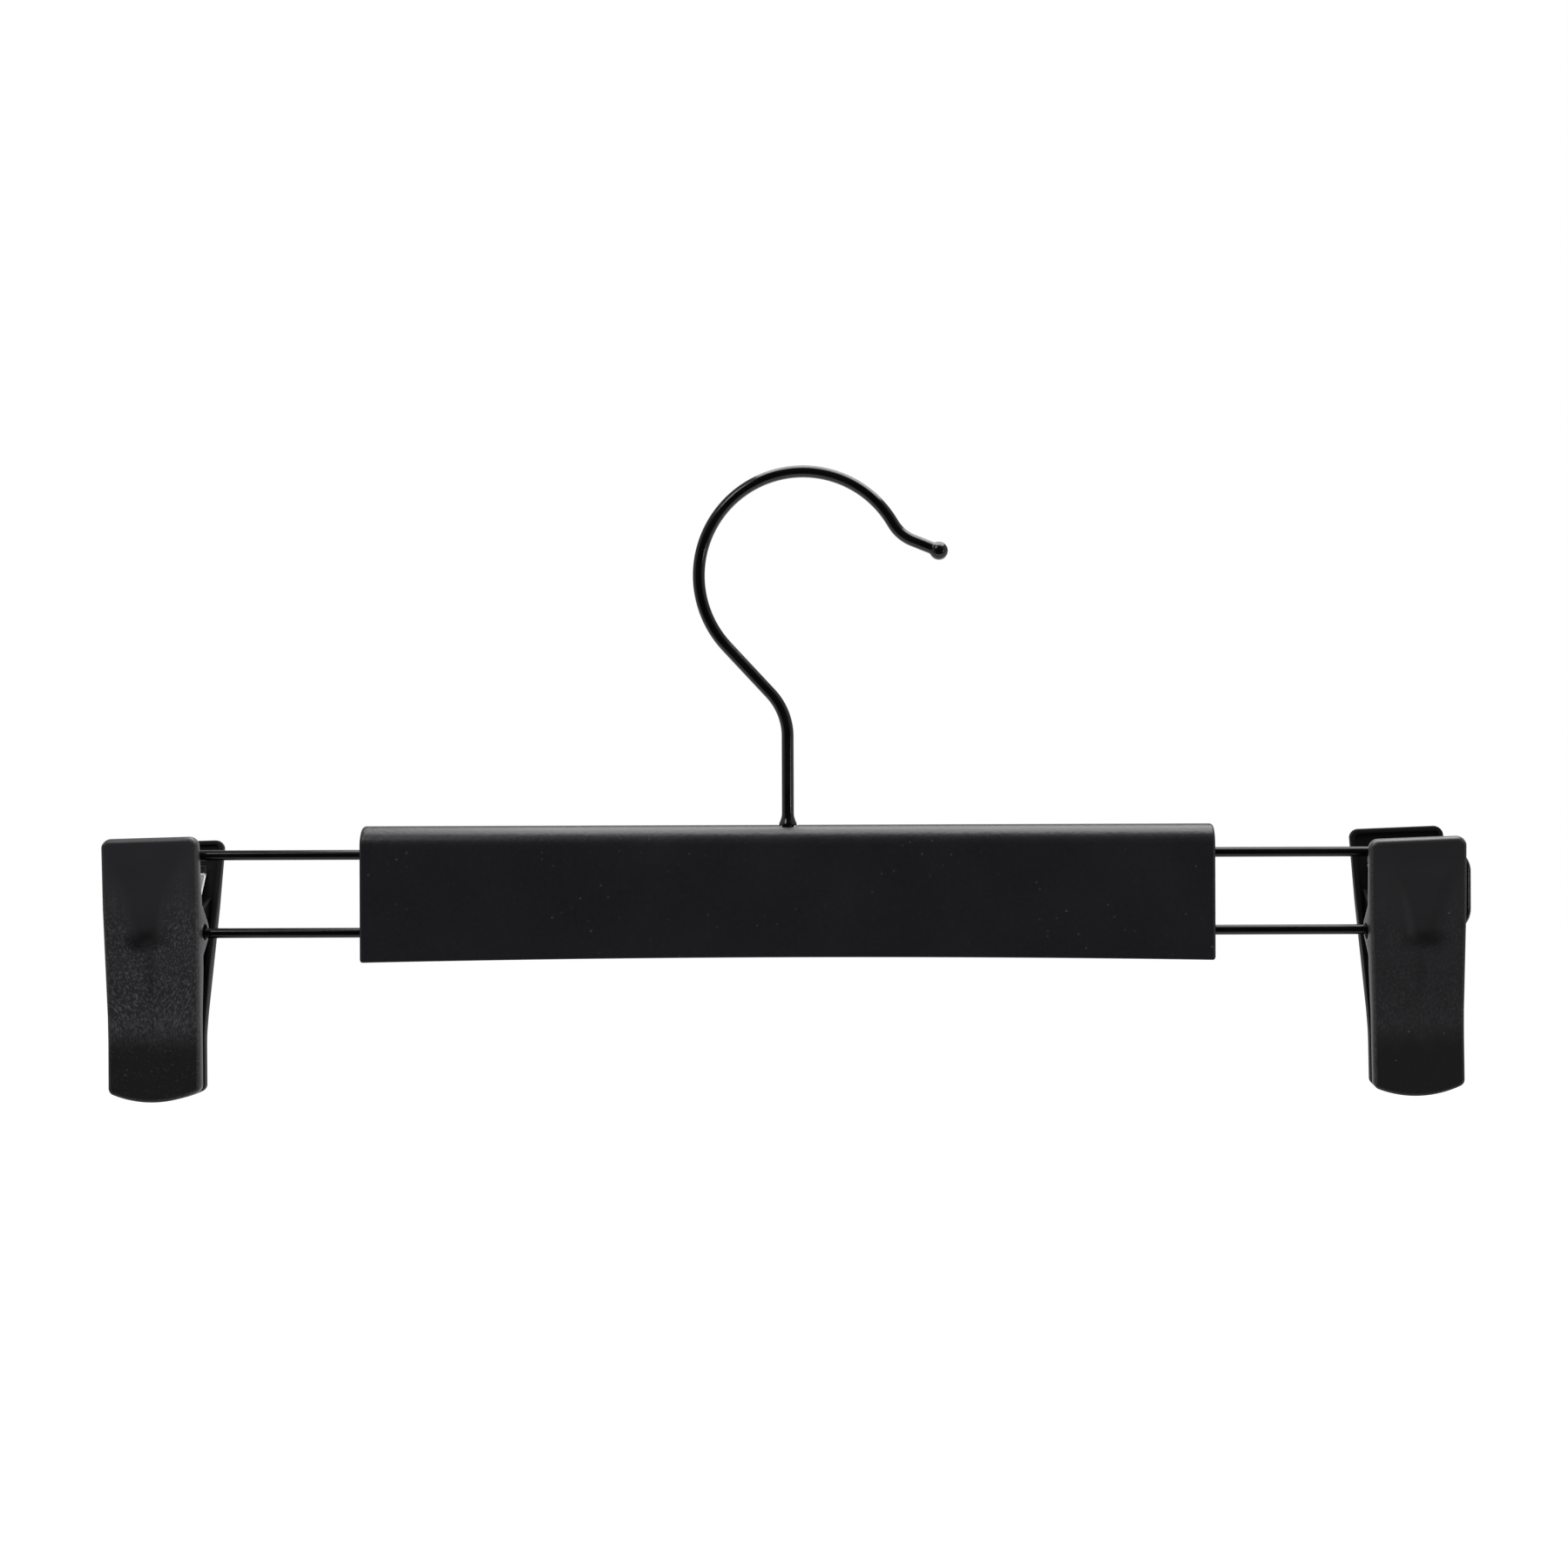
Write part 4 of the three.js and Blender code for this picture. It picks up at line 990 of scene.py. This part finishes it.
# Per clip: its wear, the strength of the painted shade at the scoop's foot, and a level below 1 that darkens
# the right clip as painted shade
plastic_clip = {
    "left": clip_plastic("worn_clip_plastic", wear=0.85, foot_shade=0.95, painted_light_level=1.0),
    "right": clip_plastic("clip_plastic", wear=0.22, foot_shade=0.3, painted_light_level=0.83),
}
spring_steel, washer_steel = steel("spring_steel", (90, 2600, 2600)), steel("washer_steel", (1400, 1400, 200))

# The hanger
settle(make_hook(), "hook", ["hook"], hook_coat)
settle(make_wire_frame(), "bar", ["wire_frame"], loop_coat)
settle(make_bar_cover(), "bar", ["bar_cover"], plastic_bar)

# Each clip's lean to the front or back and its roll, in degrees
HANG = {"left": (-4.0, -1.5), "right": (5.5, -2.2)}
for hand, (lean, roll) in HANG.items():
    pivot = Vector(joints[f"{hand}_clip_swing"]["pos_m"]) / MM
    inwards = -math.copysign(1, pivot.x)
    askew = Matrix.Rotation(math.radians(lean), 4, "X") @ Matrix.Rotation(math.radians(roll), 4, "Y")
    seat = Matrix.Translation(pivot) @ askew
    turned = seat @ Matrix.Rotation(math.pi, 4, "Z")
    for end, side, place, toward in (("front", front, turned, -inwards), ("back", back, seat, inwards)):
        name = f"{hand}_{end}"
        plate = make_plate(f"{name}_shell", side, -toward * SCOOP_OFFSET, toward, place)
        settle(plate, name, [f"{name}_plate"], plastic_clip[hand])
        settle(make_pad(f"{name}_grip", side, place), name, [f"{name}_pad"], rubber)
    spring, (bend_front, bend_back) = make_spring(f"{hand}_leaf", inwards, seat)
    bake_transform(spring)
    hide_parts(f"{hand}_spring")
    spring.data.materials.append(spring_steel)

for node, material in (("hook_saddle", plastic_insert), ("left_wire_spacer", plastic_insert),
                       ("right_wire_spacer", plastic_insert), ("hook_washer", washer_steel)):
    obj = frame["nodes"][node]
    obj.data.materials.clear()
    obj.data.materials.append(material)

# Camera, in metres, placed as for the photograph of 1800 x 1800 pixels
IMAGE_PX, FOCAL_PX, AXIS_PX = 1800, 2432, 995.5
ROLL_DEG = 0.2
CAMERA = Vector((0.0196, -0.523, -0.0754))
SENSOR = 36
camera = bpy.data.objects.new("camera", bpy.data.cameras.new("camera"))
camera.location = CAMERA
camera.rotation_euler = (math.pi / 2, math.radians(ROLL_DEG), 0)
camera.data.sensor_width = SENSOR
camera.data.lens = SENSOR * FOCAL_PX / IMAGE_PX
camera.data.shift_x = (IMAGE_PX / 2 - AXIS_PX) / IMAGE_PX
camera.data.clip_start, camera.data.clip_end = 0.01, 100
bpy.context.scene.collection.objects.link(camera)
bpy.context.scene.camera = camera

# Studio, in metres: white behind and below, a large softbox above and a dark room in front
FLOOR_Z, FLOOR_FRONT, FLOOR_REACH = -0.36, -0.25, 20
FLOOR_GREY, FLOOR_ROUGHNESS = 0.45, 0.9
FLOOR_GLOW, FLOOR_GLOSSY_SHARE = 0.75, 0.5
AMBIENT = 0.55
# What glossy surfaces see of the room, from in front of the hanger (0) to behind it (1)
ROOM = ((0.0, 0.02), (0.16, 0.03), (0.36, 0.5), (0.55, 0.6), (0.75, 0.3), (0.88, 0.3), (0.955, 1.0))
WHITE = grey(1.0)


def make_floor():
    """A pale floor that takes a shadow and looks white to the camera."""
    corners = [(-FLOOR_REACH, FLOOR_FRONT, FLOOR_Z), (FLOOR_REACH, FLOOR_FRONT, FLOOR_Z),
               (FLOOR_REACH, FLOOR_REACH, FLOOR_Z), (-FLOOR_REACH, FLOOR_REACH, FLOOR_Z)]
    mesh = bpy.data.meshes.new("floor")
    mesh.from_pydata(corners, [], [(0, 1, 2, 3)])
    floor = bpy.data.objects.new("floor", mesh)
    bpy.context.scene.collection.objects.link(floor)
    look = Look("floor")
    rays = look.node("ShaderNodeLightPath").outputs
    seen = look.greater(rays["Is Camera Ray"], look.times(rays["Is Glossy Ray"], FLOOR_GLOSSY_SHARE))
    look.set(Base_Color=grey(FLOOR_GREY), Roughness=FLOOR_ROUGHNESS, Emission_Color=WHITE,
             Emission_Strength=look.times(seen, FLOOR_GLOW))
    mesh.materials.append(look.material)


def make_world():
    """White to the camera, the room to glossy surfaces and an even light to the rest."""
    world = bpy.data.worlds.new("studio")
    world.use_nodes = True
    tree = world.node_tree
    rays = tree.nodes.new("ShaderNodeLightPath").outputs
    way = tree.nodes.new("ShaderNodeSeparateXYZ")
    connect(tree, way.inputs[0], tree.nodes.new("ShaderNodeTexCoord").outputs["Generated"])
    room = tree.nodes.new("ShaderNodeValToRGB")
    half_way = joined(tree, "MULTIPLY", way.outputs["Y"], 0.5)
    connect(tree, room.inputs["Fac"], joined(tree, "ADD", half_way, 0.5))
    steps = room.color_ramp.elements
    while len(steps) < len(ROOM):
        steps.new(0.5)
    for step, (position, value) in zip(steps, ROOM):
        step.position = position
        step.color = grey(value)
    glossy = rays["Is Glossy Ray"]
    reflected = joined(tree, "MULTIPLY", glossy, room.outputs["Color"])
    even = joined(tree, "MULTIPLY", joined(tree, "SUBTRACT", 1.0, glossy), AMBIENT)
    seen = joined(tree, "MAXIMUM", rays["Is Camera Ray"], rays["Is Transmission Ray"])
    ground = tree.nodes["Background"]
    ground.inputs["Color"].default_value = WHITE
    level = joined(tree, "ADD", reflected, even)
    connect(tree, ground.inputs["Strength"], joined(tree, "MAXIMUM", seen, level))
    bpy.context.scene.world = world


def softbox(name, location, aim, size, power):
    lamp = bpy.data.lights.new(name, "AREA")
    lamp.shape = "RECTANGLE"
    lamp.size, lamp.size_y = size
    lamp.energy = power
    obj = bpy.data.objects.new(name, lamp)
    obj.location = location
    obj.rotation_euler = (Vector(aim) - Vector(location)).to_track_quat("-Z", "Y").to_euler()
    bpy.context.scene.collection.objects.link(obj)


make_floor()
make_world()
softbox("overhead", location=(0.15, 0.17, 0.7), aim=(0.15, 0.17, -0.1), size=(0.94, 0.92), power=13.5)
softbox("key", location=(-0.6, -0.75, 0.75), aim=(0, 0, -0.1), size=(0.3, 0.3), power=2)
softbox("glint", location=(0.85, -0.53, -0.12), aim=(0, 0, -0.08), size=(0.05, 0.12), power=0.3)

scene = bpy.context.scene
scene.view_settings.view_transform = "Standard"
